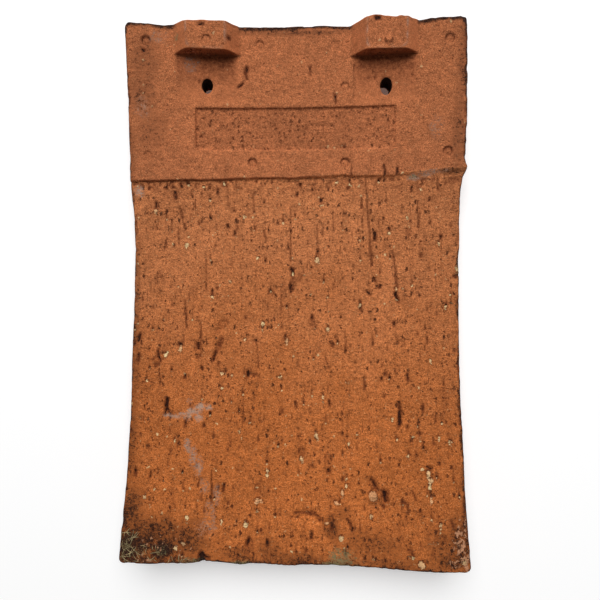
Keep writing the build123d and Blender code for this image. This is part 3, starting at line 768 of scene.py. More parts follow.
class Relief:
    """Height above the pressed face, and stains and painted shade of the nib face, each an array over the
    grid.
    """

    def __init__(self, form, x, y, rim):
        self.form, self.x, self.y, self.rim = form, x, y, rim
        self.shaken_x = x + layered(x, y, SHAKE_ACROSS)
        self.shaken_y = y + layered(x, y, SHAKE_ALONG)
        self.height = np.zeros_like(x)
        self.pit = np.full_like(x, -1.0)
        self.drag = np.full_like(x, -1.0)
        self.stone = np.full_like(x, -1.0)
        self.pale = np.zeros_like(x)
        self.groove_and_shade = np.zeros_like(x)
        self.lump_and_highlight = np.zeros_like(x)
        self.calm = np.zeros_like(x)
        self.nib_face_shade = np.zeros_like(x)
        self.nib = np.zeros_like(x)
        self.rub = np.zeros_like(x)
        self.panel = np.zeros_like(x)
        step = form.step_line(x)
        self.ramp = RAMP_NARROW + (RAMP_MIDDLE - RAMP_NARROW) * smooth(*RAMP_MIDDLE_REACH, x)
        self.ramp = self.ramp + (RAMP_WIDE - RAMP_MIDDLE) * smooth(*RAMP_WIDE_REACH, x)
        self.head = smooth(0.0, 1.0, (y - step + self.ramp) / self.ramp)
        self.foot = y - (step - self.ramp)

    def deepen(self, name, value):
        """Keeps the larger of a stain's value and a new one, at each point."""
        setattr(self, name, np.maximum(getattr(self, name), value))

    def press(self):
        """The pressed forms: the head zone's step, the nibs, the stamp panel and the screw marks."""
        self.height -= self.form.step * (1.0 - self.head)
        for name, fit in NIB_FITS.items():
            self.raise_nib(MOUNTS[name]["pos_m"][0] / MM, fit)
        self.sink_panel()
        for px, py, depth in SCREW_MARKS:
            self.screw_mark(*self.form.on_face([px, py]), depth)

    def raise_nib(self, place, fit):
        """A nib: the least of its flat top, its flanks and its head slope, above the tilted foot plane."""
        form, sizes = self.form, self.form.sizes
        tall = sizes.nib_height / MM
        middle = place + fit["shift"][0]
        front = nib_front(form) + fit["shift"][1]
        lean = np.array(MOUNTS["nib_right"]["axis"])
        foot = form.level(np.array(middle), np.array(front), form.top)
        level = form.level(self.x, self.y, form.top)
        over_foot = (self.y - front) * lean[2] - (level - foot) * lean[1]
        across, along = self.x - middle, self.y - nib_line(form, self.x)
        base = sizes.nib_base_width / MM / 2 + np.where(across < 0, *fit["flare"])
        top = sizes.nib_top_width / MM / 2
        edge = base - np.abs(across)
        run = base - top - np.sign(across) * fit["top_shift"]
        length = form.half_length - front
        chewed = fit["chewed"] * noise(self.x, self.x, 4.0, EVEN, 33)
        slope = tall - (along - length + fit["head_setback"] + chewed) * NIB_HEAD_SLOPE
        worn = 0.1 * noise(self.x, self.y, 5.0, 4.0, 31)
        profile = soft_min(soft_min(edge * tall / run, np.full_like(edge, tall), 0.8), slope, 1.0) + worn
        bulk = -soft_min(over_foot - profile, np.zeros_like(edge), 0.3)
        draft = fit["drafts"][0] + (fit["drafts"][1] - fit["drafts"][0]) * smooth(-top, 0.8 * top, across)
        draft = draft * smooth(0.0, 1.0, edge / run + 0.2)
        raised = bulk * smooth(0.0, 1.0, along / np.maximum(draft, 0.2))
        self.height += raised
        self.deepen("nib", smooth(0.2, 2.0, raised))
        # Painted shade on the nib's batten face, which faces away from the light; it is laid with the soot
        # colour
        shaded_face = smooth(0.3, 1.5, bulk) * smooth(-0.4, 0.2, along)
        self.deepen("nib_face_shade", shaded_face * smooth(draft + 0.2, 0.7 * draft, along))
        self.rub_nib(fit, np.abs(across - fit["top_shift"]) - top, draft + 0.6 - along, raised)
        self.calm_and_shade_foot(across, along, base)
        away_x, away_y, depth = fit["screw"]
        if depth > 0:
            self.screw_mark(middle + away_x, front + away_y, depth)
        else:
            self.screw_boss(middle + away_x, front + away_y, -depth)

    def rub_nib(self, fit, over_x, over_y, raised):
        """The rubbed top of a nib, with a pale line round it, and its calm flanks."""
        outside = outside_of(over_x, over_y, NIB_PLATEAU_CORNER)
        on_top = smooth(2.0, 4.0, raised)
        line = np.exp(-((outside / 0.45) ** 2)) * on_top * (1.0 - 0.75 * smooth(0.0, 2.0, over_y - over_x))
        self.deepen("rub", line * smooth(-0.7, 0.5, noise(self.x, self.y, 2.0, 2.5, 34)))
        self.deepen("groove_and_shade", fit["shade"] * on_top * smooth(0.2, -0.6, outside))
        self.deepen("calm", 0.7 * smooth(0.2, 1.5, raised) * smooth(0.0, 0.8, outside))

    def calm_and_shade_foot(self, across, along, base):
        """The calm clay below a nib, and the nib's painted shadow on it, which fades towards the tail."""
        below = smooth(15.5, 14.0, np.abs(across - 0.5)) * smooth(*NIB_CALM_REACH, along)
        self.deepen("calm", 0.6 * below * smooth(0.5, -0.5, along))
        # Painted shadow of the nib on the face below it, laid with the groove colour as darker clay
        dark = smooth(base + 0.5, base - 4.0, np.abs(across)) * smooth(*NIB_SHADOW_REACH, along)
        self.deepen("groove_and_shade", NIB_SHADOW * dark * smooth(0.5, -0.2, along))

    def sink_panel(self):
        """The stamp panel: depth times an S-shaped rise over the distance in from a rounded rectangle."""
        up = self.y - PANEL_Y
        inside = -outside_of(np.abs(self.x) - PANEL_HALF_LENGTH, np.abs(up) - PANEL_HALF_HEIGHT, PANEL_CORNER)
        self.panel = smooth(-PANEL_WALL, PANEL_WALL, inside)
        fade = 1.0 - PANEL_FADE * smooth(*PANEL_FADE_ACROSS, self.x) * smooth(*PANEL_FADE_ALONG, self.y)
        self.height -= self.form.sizes.panel_depth / MM * self.panel * fade
        self.height += layered(self.x, self.y, PANEL_SKIN) * smooth(0.0, 2.0, inside) * self.panel
        # Painted shade along the panel's upper and left walls, and a painted highlight along its lower wall
        wall = np.exp(-(((inside - 0.2) / 0.45) ** 2))
        left = smooth(1.5, 0.5, self.x + PANEL_HALF_LENGTH)
        upper = smooth(-0.5, 0.5, up - PANEL_HALF_HEIGHT + 1.0)
        lower = smooth(0.5, -0.5, up + PANEL_HALF_HEIGHT - 1.0)
        self.deepen("groove_and_shade", 0.6 * wall * np.maximum(upper, left))
        self.deepen("lump_and_highlight", 0.8 * wall * lower)

    def screw_mark(self, mx, my, depth):
        """A screw head's print: a dished ring around a low dome, with painted shade on the ring's head side.
        """
        dx, dy = self.x - mx, self.y - my
        radius = np.hypot(dx, dy)
        dish = smooth(2.6, 1.9, radius) - 0.8 * smooth(1.6, 0.5, radius)
        self.height += -depth * dish + 0.12 * np.exp(-(((radius - 2.9) / 0.5) ** 2))
        side = smooth(-1.0, 1.0, dy / np.maximum(radius, 0.1))
        ring = 0.5 * depth - np.abs(radius - SCREW_RADIUS) - 0.3 * (1.0 - side)
        self.deepen("drag", np.clip(ring, -1.0, 1.0))
        self.deepen("groove_and_shade", depth * np.exp(-(((radius - SCREW_RADIUS) / 0.6) ** 2)) * side)

    def screw_boss(self, mx, my, tall):
        """A worn screw head that stands up: a low dome with a slot, and painted shadow round its tail side.
        """
        dx, dy = self.x - mx, self.y - my
        radius = np.hypot(dx, dy)
        dome = np.sqrt(np.clip(1.0 - (radius / BOSS_RADIUS) ** 2, 0.0, 1.0))
        self.height += tall * dome - 0.3 * np.exp(-((dy / 0.35) ** 2)) * smooth(1.5, 1.0, radius)
        self.deepen("lump_and_highlight", 0.7 * smooth(1.8, 1.2, radius))
        shade = 0.45 - np.abs(radius - 1.8) - 0.7 * smooth(-0.2, 0.6, dy / np.maximum(radius, 0.1))
        self.deepen("drag", np.clip(shade, -1.0, 1.0))

    def tear(self):
        """Torn skin of the body and calmer skin of the head: noise stretched along the pull of the wire."""
        x, y = self.x, self.y
        rough = 1.0 - 0.72 * self.head
        self.height += layered(x, y, TORN_SKIN) * rough * (1.0 - 0.6 * self.nib) + layered(x, y, SWELL)
        dark = smooth(0.25, 0.8, noise(x, y, 1.5, 13.0, 56)) * smooth(0.1, 0.5, noise(x, y, 5.0, 22.0, 57))
        self.deepen("groove_and_shade", 0.35 * dark * (1.0 - self.head))
        self.height -= 0.15 * dark * (1.0 - self.head)
        # Painted shadow in a thin line at the foot of the head step, over a shallow crack, and painted shade
        # below its middle ramp
        broken = smooth(-0.5, 0.3, noise(x, y, 7.0, EVEN, 58) + 0.4) * (1.0 - 0.7 * smooth(-20.0, 10.0, x))
        crack_and_shadow = np.exp(-((self.foot / 0.3) ** 2)) * broken
        crumbs = smooth(0.0, 0.5, noise(x, y, 1.5, 1.7, 59)) * smooth(-13.0, -1.0, self.foot)
        crumbs = crumbs * smooth(0.3, -0.5, self.foot)
        ramp_shade = np.exp(-(((self.foot + 0.6) / 1.8) ** 2)) * smooth(*RAMP_MIDDLE_REACH, x)
        ramp_shade = ramp_shade * smooth(56.0, 48.0, x)
        self.deepen("groove_and_shade", np.maximum(crack_and_shadow, np.maximum(0.75 * crumbs, 0.38 * ramp_shade)))
        self.height -= 0.2 * crack_and_shadow + 0.25 * crumbs

    def scatter(self):
        """Small stones dragged along: each grid cell has one, some with a groove, a pit or pale grit."""
        cell_x, cell_y = SCATTER_CELL
        i, j = np.floor(self.x / cell_x), np.floor(self.y / cell_y)
        for di in (-1, 0, 1):
            for dj in (-1, 0, 1):
                pick = [lattice(i + di, j + dj, self.form.seed + 10 + k) for k in range(6)]
                dx = self.x - (i + di + pick[0]) * cell_x
                dy = self.y - (j + dj + pick[1]) * cell_y
                keep = (pick[2] < SCATTER_SHARE * (1.0 - self.head)) & (self.nib < 0.1)
                self.drag_stone(dx, dy, keep, pick[3:])

    def drag_stone(self, dx, dy, keep, pick):
        """One dragged stone in each cell: a groove that leads down to a pit, and in some a pale stone."""
        long = 0.8 + 7.0 * pick[0] ** 2
        away = np.hypot(dx + 0.2 * np.sin(dy), dy - np.clip(dy, 0.0, long))
        line = np.where(keep, 0.15 + 0.2 * pick[1] - away - 0.1 * np.clip(dy, 0.0, long), -1.0)
        self.scratch(np.clip(line, -1.0, 1.0), 0.35)
        bowl = 0.2 + 0.35 * pick[1] - np.hypot(dx, 0.75 * dy)
        bowl = np.where(keep & (pick[2] < 0.6), bowl, -1.0)
        self.sink_pit(np.clip(bowl, -1.0, 1.0), 0.1, 0.6)
        below = 0.2 + 0.35 * pick[0] - np.hypot(dx, dy + 0.9)
        below = np.where(keep & (pick[1] > 0.55), below, -1.0)
        self.pale = np.where(below > self.stone, 0.5 + 0.5 * pick[2], self.pale)
        self.deepen("stone", below)

    def mark(self):
        """The marks read from the photograph: drags, gouges, pits, stones and a flap of clay."""
        for x0, y0, x1, y1, width, depth in DRAGS:
            away, along = self.segment(x0, y0, x1, y1)
            self.scratch(0.42 * width - away - 0.25 * (1.0 - along), depth)
        for x0, y0, x1, y1, width, depth, shade in GOUGES:
            self.gouge(*self.segment(x0, y0, x1, y1), width, depth, shade)
        for x0, y0, x1, y1, width, depth in PITS:
            away, along = self.segment(x0, y0, x1, y1)
            # The pit's painted black shade shrinks towards its lower end, so it stays at the head side
            self.sink_pit(0.45 * width - away, 0.2 + 0.14 * width * along, depth)
        for px, py, half_x, half_y, tall, pale in STONES:
            self.set_stone(*self.form.on_face([px, py]), half_x, half_y, tall, pale)
        px, py, half_x, half_y, tall = CLAY_FLAP
        mx, my = self.form.on_face([px, py])
        reach = np.hypot((self.x - mx) / half_x, (self.y - my) / half_y)
        reach = reach + 0.12 * noise(self.x, self.y, 3.0, 3.0, 63)
        self.height += tall * smooth(1.05, 0.8, reach) * smooth(my - half_y, my + 0.6 * half_y, self.y)
        self.deepen("lump_and_highlight", 1.5 * smooth(1.1, 0.7, reach))

    def segment(self, x0, y0, x1, y1):
        """Distance to the shaken line between two pixels on the face, and the share of the way along it."""
        (ax, ay), (bx, by) = self.form.on_face([[x0, y0], [x1, y1]])
        return to_segment(self.shaken_x, self.shaken_y, ax, ay, bx, by)

    def scratch(self, inside, depth):
        """A thin drag: depth times an S-shaped rise over the distance in from its edge, with a brown side."""
        self.height -= depth * smooth(-0.5, 0.3, inside)
        self.deepen("drag", inside + 0.3 * (depth - 0.4))
        self.deepen("groove_and_shade", 0.5 * smooth(-0.9, 0.1, inside))

    def gouge(self, away, along, width, depth, shade):
        """A smooth gouge: a round hollow along a line, with painted shade along its rim, and a floor painted
        in shade or in light.
        """
        hollow = smooth(0.6 * width, 0.15 * width, away)
        self.height -= depth * hollow
        rim = np.exp(-(((away - 0.5 * width) / 0.45) ** 2)) * smooth(0.95, 0.2, along)
        self.deepen("groove_and_shade", np.maximum(0.95 * rim, 1.2 * shade * hollow))
        self.deepen("lump_and_highlight", 0.6 * (1.0 - shade) * smooth(0.4 * width, 0.1 * width, away))

    def sink_pit(self, inside, shy, depth):
        """A pit: depth times an S-shaped rise over the distance in from its edge, with painted shade, black
        inside and brown at the edge.
        """
        self.height -= depth * smooth(-0.4, 0.5, inside)
        self.deepen("groove_and_shade", smooth(-0.9, 0.2, inside))
        self.deepen("pit", inside - shy)

    def set_stone(self, mx, my, half_x, half_y, tall, pale):
        """A stone or lump: a flat chip, part oval and part five-sided, with a painted shadow in the gap at
        its head side.
        """
        dx, dy = (self.shaken_x - mx) / half_x, (self.shaken_y - my) / half_y
        angles = 2.0 * np.pi * (lattice(round(mx), round(my), 5) + np.arange(5) / 5)
        sides = np.max([dx * np.cos(angle) + dy * np.sin(angle) for angle in angles], axis=0)
        reach = 0.45 * np.hypot(dx, dy) + 0.62 * sides
        size = min(half_x, half_y)
        upper = smooth(-0.4, 0.9, dy)
        ring = np.exp(-(((reach - 1.15) / 0.22) ** 2))
        self.height += tall * smooth(1.05, 0.55, reach) - (0.12 + 0.3 * upper) * ring
        self.deepen("groove_and_shade", (0.2 + 0.7 * upper) * ring)
        gap = 0.3 - np.abs(reach - 1.12) * size - 0.6 * (1.0 - upper)
        self.deepen("drag", np.clip(gap, -1.0, 1.0))
        if pale > CLAY_LUMP:
            inside = (0.95 - reach) * size
            self.pale = np.where(inside > self.stone, 2.0 * (pale - CLAY_LUMP), self.pale)
            self.deepen("stone", np.clip(inside, -1.0, 1.0))
        else:
            self.deepen("lump_and_highlight", smooth(1.0, 0.7, reach))

    def wear(self):
        """The rounded rim, chipped where noise passes a threshold, mostly on the head and one side."""
        x, y, rim = self.x, self.y, self.rim
        short = np.clip(FACE_ROUNDING - rim, 0.0, FACE_ROUNDING)
        self.height -= FACE_ROUNDING - np.sqrt(FACE_ROUNDING**2 - short**2)
        worn = 0.25 - 0.35 * smooth(30.0, 80.0, x) * self.head
        chip = noise(x, y, 2.6, 2.6, 71) + 0.5 * noise(*slanted(x, y), 7.0, 7.0, 72)
        chip = smooth(worn, worn + 0.5, chip) * smooth(*CHIP_REACH, rim)
        self.height -= CHIP_DEPTH * chip
        self.deepen("groove_and_shade", 0.9 * chip)

    def build(self):
        """All the steps in the order in which the tile came by them."""
        self.press()
        self.tear()
        self.scatter()
        self.mark()
        self.wear()
        return self


def stain(form, x, y, patches, seed):
    """Stains from 0 to 1: the strongest of some ovals that fall off from their middles, broken by noise."""
    broken = 0.2 * noise(*slanted(x, y), 4.0, 4.0, seed) + 0.1 * noise(x, y, 1.6, 1.6, seed + 1)
    total = np.zeros_like(x)
    for px, py, half_x, half_y, strength in patches:
        mx, my = form.on_face([px, py])
        reach = np.hypot((x - mx) / half_x, (y - my) / half_y)
        total = np.maximum(total, strength * smooth(1.7, 0.1, reach + broken))
    return total


def edge_soot_and_shade(form, relief):
    """Soot and painted shade along the edges of the face: full at the edge, fading within millimetres, broken
    by noise.
    """
    x, y = relief.x, relief.y
    near_end = form.half_length - np.abs(y) < END_DARK_ZONE
    strength = np.where(x < 0, EDGE_SOOT_AND_SHADE["left"], EDGE_SOOT_AND_SHADE["right"])
    strength = np.where(near_end, np.where(y > 0, EDGE_SOOT_AND_SHADE["head"], EDGE_SOOT_AND_SHADE["tail"]), strength)
    reach = EDGE_DARK_REACH + HEAD_DARK_REACH * near_end * (y > 0) + 1.4 * noise(x, y, 8.0, 8.0, 108)
    ragged = relief.rim + 0.4 * noise(x, y, 2.4, 2.4, 107)
    return strength * smooth(reach, 0.3 * reach, ragged) * (1.0 - 0.8 * relief.nib)


def wall_soot(form, points):
    """Soot on the walls: thick under the edge of the face, fading downwards in runs of uneven length."""
    x, y, z = points.T
    drop = form.level(x, y, form.top) - z
    run = 2.4 * noise(*slanted(x, y), 9.0, 9.0, 109) + 1.2 * noise(x + y, z, 1.8, 2.4, 110)
    return WALL_SOOT * smooth(*WALL_SOOT_DROP, drop + run)


def loop_of(rows, columns, low_row, high_row, low_column, high_column):
    """Grid indices round a block, anticlockwise as seen from above, starting at its low corner."""
    index = np.arange(rows * columns).reshape(rows, columns)
    block = index[low_row : high_row + 1, low_column : high_column + 1]
    return np.concatenate([block[0, :-1], block[:-1, -1], block[-1, :0:-1], block[:0:-1, 0]])


def grid_quads(rows, columns, holes):
    """The four corners of each grid cell, anticlockwise, without the cells inside the holes."""
    index = np.arange(rows * columns).reshape(rows, columns)
    quads = np.stack([index[:-1, :-1], index[:-1, 1:], index[1:, 1:], index[1:, :-1]], axis=-1)
    keep = np.ones((rows - 1, columns - 1), bool)
    for low_row, high_row, low_column, high_column in holes:
        keep[low_row:high_row, low_column:high_column] = False
    return quads[keep]


def strip(upper, lower):
    """Quads between two closed rings of the same length, facing out of an anticlockwise ring."""
    return np.stack([upper, lower, np.roll(lower, -1), np.roll(upper, -1)], axis=-1)


def seam(upper, lower):
    """Faces between a fine ring and a coarse one: each coarse edge meets three fine edges in one face."""
    fine = [np.roll(upper, -k)[::COARSE] for k in range(COARSE, -1, -1)]
    return np.stack([*fine, lower, np.roll(lower, -1)], axis=-1)


class Shell:
    """Collects the points and faces of one closed surface."""

    def __init__(self):
        self.points, self.pits, self.faces, self.count = [], [], [], 0

    def add_points(self, points, pit=-1.0):
        """Adds an array of points, with how dark their finish is, and returns their numbers."""
        numbers = np.arange(self.count, self.count + len(points))
        self.points.append(points)
        self.pits.append(np.full(len(points), pit))
        self.count += len(points)
        return numbers

    def mesh(self, name):
        """Makes the mesh, leaving out the points that no face uses."""
        points = np.concatenate(self.points)
        used = np.zeros(len(points), bool)
        for faces in self.faces:
            used[faces.ravel()] = True
        number = np.cumsum(used) - 1
        loops = np.concatenate([number[faces].ravel() for faces in self.faces])
        sizes = np.concatenate([np.full(len(faces), faces.shape[1]) for faces in self.faces])
        mesh = bpy.data.meshes.new(name)
        mesh.vertices.add(int(used.sum()))
        mesh.vertices.foreach_set("co", (points[used] * MM).astype(np.float32).ravel())
        mesh.loops.add(len(loops))
        mesh.loops.foreach_set("vertex_index", loops.astype(np.int32))
        mesh.polygons.add(len(sizes))
        mesh.polygons.foreach_set("loop_start", np.concatenate([[0], np.cumsum(sizes)[:-1]]).astype(np.int32))
        mesh.update(calc_edges=True)
        mesh.polygons.foreach_set("use_smooth", np.ones(len(sizes), bool))
        if mesh.validate():
            raise RuntimeError(f"the surface of {name} has faulty faces")
        return mesh, used


def wall_rings(shell, top, bottom, levels, outward, rough, seed, pit=-1.0):
    """Rings of a wall between two rings of points: straight lines from one to the other, dented by noise."""
    rings = []
    for level in levels:
        points = top + (bottom - top) * level
        along = np.cumsum(np.linalg.norm(np.diff(top, axis=0, prepend=top[:1]), axis=1))
        dent = noise(along, points[:, 2], 5.0, 2.6, seed)
        dent = dent + 0.6 * noise(along, points[:, 2], 1.7, 1.6, seed + 1) - 1.0
        rings.append(shell.add_points(points + outward * (rough * dent)[:, None], pit))
    return rings


def outward_of(ring):
    """Level unit normals that point out of an anticlockwise ring."""
    run = np.roll(ring, -1, axis=0) - np.roll(ring, 1, axis=0)
    out = np.stack([run[:, 1], -run[:, 0], np.zeros(len(run))], axis=-1)
    return out / np.maximum(np.linalg.norm(out, axis=1, keepdims=True), 1e-9)


def tile_surface(form):
    """The closed surface of the tile and the values that its finish reads at each point."""
    x, y, rim, holes = plan_grid(form)
    rows, columns = x.shape
    relief = Relief(form, x, y, rim).build()
    level = form.level(x, y, form.top)
    face = np.stack([x, y, level], axis=-1) + form.normal(x, y, form.top) * relief.height[..., None]
    coarse = (slice(None, None, COARSE), slice(None, None, COARSE))
    back_x, back_y, back_rim = x[coarse], y[coarse], rim[coarse]
    short = np.clip(BACK_ROUNDING - back_rim, 0.0, BACK_ROUNDING)
    back_level = form.level(back_x, back_y, 0.0) + BACK_ROUNDING - np.sqrt(BACK_ROUNDING**2 - short**2)
    back_level += BACK_ROUGHNESS * noise(back_x, back_y, 9.0, 9.0, 81) + BACK_ROUGHNESS
    back = np.stack([back_x, back_y, back_level], axis=-1)
    back_rows, back_columns = back_x.shape
    blocks = [block for _, block in holes]
    back_blocks = [tuple(edge // COARSE for edge in block) for block in blocks]
    shell = Shell()
    top = shell.add_points(face.reshape(-1, 3))
    shell.faces.append(grid_quads(rows, columns, blocks))
    under = shell.add_points(back.reshape(-1, 3))
    shell.faces.append(under[grid_quads(back_rows, back_columns, back_blocks)][:, ::-1])
    ring = top[loop_of(rows, columns, 0, rows - 1, 0, columns - 1)]
    ring_top = face.reshape(-1, 3)[ring]
    low_level = form.level(ring_top[:, 0], ring_top[:, 1], 0.0) + BACK_ROUNDING
    ring_low = np.column_stack([ring_top[:, :2], low_level])
    outward = outward_of(ring_top)
    rings = [ring, *wall_rings(shell, ring_top, ring_low, WALL_LEVELS, outward, WALL_ROUGHNESS, 91)]
    shell.faces += [strip(upper, lower) for upper, lower in zip(rings, rings[1:])]
    back_ring = under[loop_of(back_rows, back_columns, 0, back_rows - 1, 0, back_columns - 1)]
    shell.faces.append(seam(rings[-1], back_ring))
    for (fit, block), back_block in zip(holes, back_blocks):
        hole = top[loop_of(rows, columns, *block)]
        back_hole = under[loop_of(back_rows, back_columns, *back_block)]
        hole_top = face.reshape(-1, 3)[hole]
        middle = hole_top[:, :2].mean(axis=0) - fit["shift"]
        spokes = hole_top[:, :2] - hole_top[:, :2].mean(axis=0)
        spokes /= np.linalg.norm(spokes, axis=1, keepdims=True)
        hole_low = np.column_stack([middle + fit["exit_shift"] + spokes * fit["exit_radius"], hole_top[:, 2]])
        hole_low[:, 2] = form.level(hole_low[:, 0], hole_low[:, 1], 0.0)
        shell.points[1][back_hole - under[0]] = hole_low[::COARSE]
        outward = outward_of(hole_top)
        # The bores of the nail holes take the pit value, and so the pit's painted black shade
        rings = [hole, *wall_rings(shell, hole_top, hole_low, HOLE_LEVELS, outward, HOLE_ROUGHNESS, 95, 1.0)]
        shell.faces += [strip(upper, lower)[:, ::-1] for upper, lower in zip(rings, rings[1:])]
        shell.faces.append(seam(rings[-1], back_hole)[:, ::-1])
    return shell, relief


def tile_values(form, shell, relief):
    """The finish values at every point: those of the relief on the nib face, and plain ones elsewhere."""
    points = np.concatenate(shell.points)
    x, y = points[:, 0], points[:, 1]
    size = relief.x.size
    on_face = np.arange(len(points)) < size
    values = {name: np.full(len(points), plain) for name, plain in PLAIN_VALUES.items()}
    values["pit"] = np.concatenate(shell.pits)
    for name in (*PLAIN_VALUES, "pit"):
        values[name][:size] = np.clip(getattr(relief, name).ravel(), -1.0, 1.0)
    in_head = smooth(0.0, RAMP_NARROW, y - form.step_line(x) + RAMP_NARROW)
    values["head"] = in_head * np.where(on_face, 1.0, 0.4)
    values["lime"] = stain(form, x, y, LIME_SMEARS, 101) * on_face
    # The soot value carries real soot and painted shade: on the nibs' batten faces and along the edges of the
    # face
    soot_and_shade_layer = np.where(on_face, 0.0, wall_soot(form, points))
    soot_and_shade_layer[:size] = np.maximum(edge_soot_and_shade(form, relief), 0.5 * relief.nib_face_shade).ravel()
    values["soot_and_shade"] = np.maximum(stain(form, x, y, SOOT_STAINS, 103), soot_and_shade_layer)
    values["lichen"] = stain(form, x, y, LICHEN_STAINS, 105)
    values["flake"] = stain(form, x, y, FLAKE_STAINS, 111)
    return values


def add_node(tree, kind, inputs=None, **settings):
    """Adds a node: its settings are attributes, its inputs plain values or the sockets that feed them."""
    node = tree.nodes.new(kind)
    for name, value in settings.items():
        setattr(node, name, value)
    for name, value in (inputs or {}).items():
        if isinstance(value, bpy.types.NodeSocket):
            tree.links.new(value, node.inputs[name])
        else:
            node.inputs[name].default_value = value
    return node


def calc(tree, operation, a, b=0.0, c=0.0, clamp=False):
    """A Math node's result."""
    inputs = {0: a, 1: b, 2: c}
    return add_node(tree, "ShaderNodeMath", inputs, operation=operation, use_clamp=clamp).outputs[0]


def ramp(tree, value, low, high, out_low=0.0, out_high=1.0):
    """An S-shaped Map Range of a value."""
    inputs = {0: value, 1: low, 2: high, 3: out_low, 4: out_high}
    return add_node(tree, "ShaderNodeMapRange", inputs, interpolation_type="SMOOTHSTEP").outputs[0]


def blend(tree, share, base, over, mode="MIX"):
    """A Mix Color node's result."""
    node = add_node(tree, "ShaderNodeMix", data_type="RGBA", blend_type=mode)
    for name, value in (("Factor_Float", share), ("A_Color", base), ("B_Color", over)):
        socket = next(s for s in node.inputs if s.identifier == name)
        if isinstance(value, bpy.types.NodeSocket):
            tree.links.new(value, socket)
        elif name == "Factor_Float":
            socket.default_value = value
        else:
            socket.default_value = (*value, 1.0)
    return next(s for s in node.outputs if s.identifier == "Result_Color")


def tone(tree, value, low, high, dark, bright):
    """A grey that multiplies a colour, from dark to bright as a value goes from low to high."""
    level = ramp(tree, value, low, high, dark, bright)
    return add_node(tree, "ShaderNodeCombineColor", {0: level, 1: level, 2: level}).outputs[0]


def spread_noise(tree, vector, scale, detail=3.0, rough=0.6, stretch=(1.0, 1.0, 1.0)):
    """A Noise Texture's value on millimetres: scale is waves to the millimetre, stretch shortens an axis."""
    mapped = add_node(tree, "ShaderNodeMapping", {"Vector": vector, "Scale": [scale * s for s in stretch]})
    inputs = {"Vector": mapped.outputs[0], "Scale": 1.0, "Detail": detail, "Roughness": rough}
    return add_node(tree, "ShaderNodeTexNoise", inputs).outputs["Fac"]


def spots_group():
    """Node group of scattered spots: each cell of a Voronoi pattern has a spot of its own size, or none."""
    tree = bpy.data.node_groups.new("Scattered Spots", "ShaderNodeTree")
    face = tree.interface
    face.new_socket("Vector", in_out="INPUT", socket_type="NodeSocketVector")
    for name, value in (("Cell", 2.0), ("Radius", 0.3), ("Share", 0.5), ("Softness", 0.1), ("Length", 1.0)):
        face.new_socket(name, in_out="INPUT", socket_type="NodeSocketFloat").default_value = value
    face.new_socket("Mask", in_out="OUTPUT", socket_type="NodeSocketFloat")
    face.new_socket("Tint", in_out="OUTPUT", socket_type="NodeSocketFloat")
    given = tree.nodes.new("NodeGroupInput").outputs
    cell_y = calc(tree, "MULTIPLY", given["Cell"], given["Length"])
    size = add_node(tree, "ShaderNodeCombineXYZ", {0: given["Cell"], 1: cell_y, 2: given["Cell"]}).outputs[0]
    ratio = {0: given["Vector"], 1: size}
    scaled = add_node(tree, "ShaderNodeVectorMath", ratio, operation="DIVIDE").outputs[0]
    cells = add_node(tree, "ShaderNodeTexVoronoi", {"Vector": scaled, "Scale": 1.0}, voronoi_dimensions="3D")
    pick = add_node(tree, "ShaderNodeSeparateColor", {0: cells.outputs["Color"]}).outputs
    reach = calc(tree, "MULTIPLY", given["Radius"], calc(tree, "MULTIPLY_ADD", pick[1], 0.65, 0.35))
    depth = calc(tree, "SUBTRACT", reach, cells.outputs["Distance"])
    spot = calc(tree, "DIVIDE", depth, given["Softness"], clamp=True)
    keep = calc(tree, "LESS_THAN", pick[0], given["Share"])
    end = tree.nodes.new("NodeGroupOutput").inputs
    tree.links.new(calc(tree, "MULTIPLY", spot, keep), end["Mask"])
    tree.links.new(pick[2], end["Tint"])
    return tree


def spots(tree, group, vector, cell, radius, share, softness, length):
    """A placed group of scattered spots, with its own sizes."""
    inputs = {
        "Vector": vector, "Cell": cell, "Radius": radius, "Share": share,
        "Softness": softness, "Length": length,
    }
    return add_node(tree, "ShaderNodeGroup", inputs, node_tree=group).outputs


def settled(tree, grain, field, low, high):
    """Where dirt has settled: a field from 0 to 1, dithered by grain where it is above nought."""
    spread = calc(tree, "MULTIPLY", grain, ramp(tree, field, 0.0, 0.3))
    return ramp(tree, calc(tree, "ADD", spread, field), low, high)


def millimetres(tree):
    """Object coordinates in millimetres."""
    place = add_node(tree, "ShaderNodeTexCoord").outputs["Object"]
    scaled = {0: place, 1: (1 / MM,) * 3}
    return add_node(tree, "ShaderNodeVectorMath", scaled, operation="MULTIPLY").outputs[0]


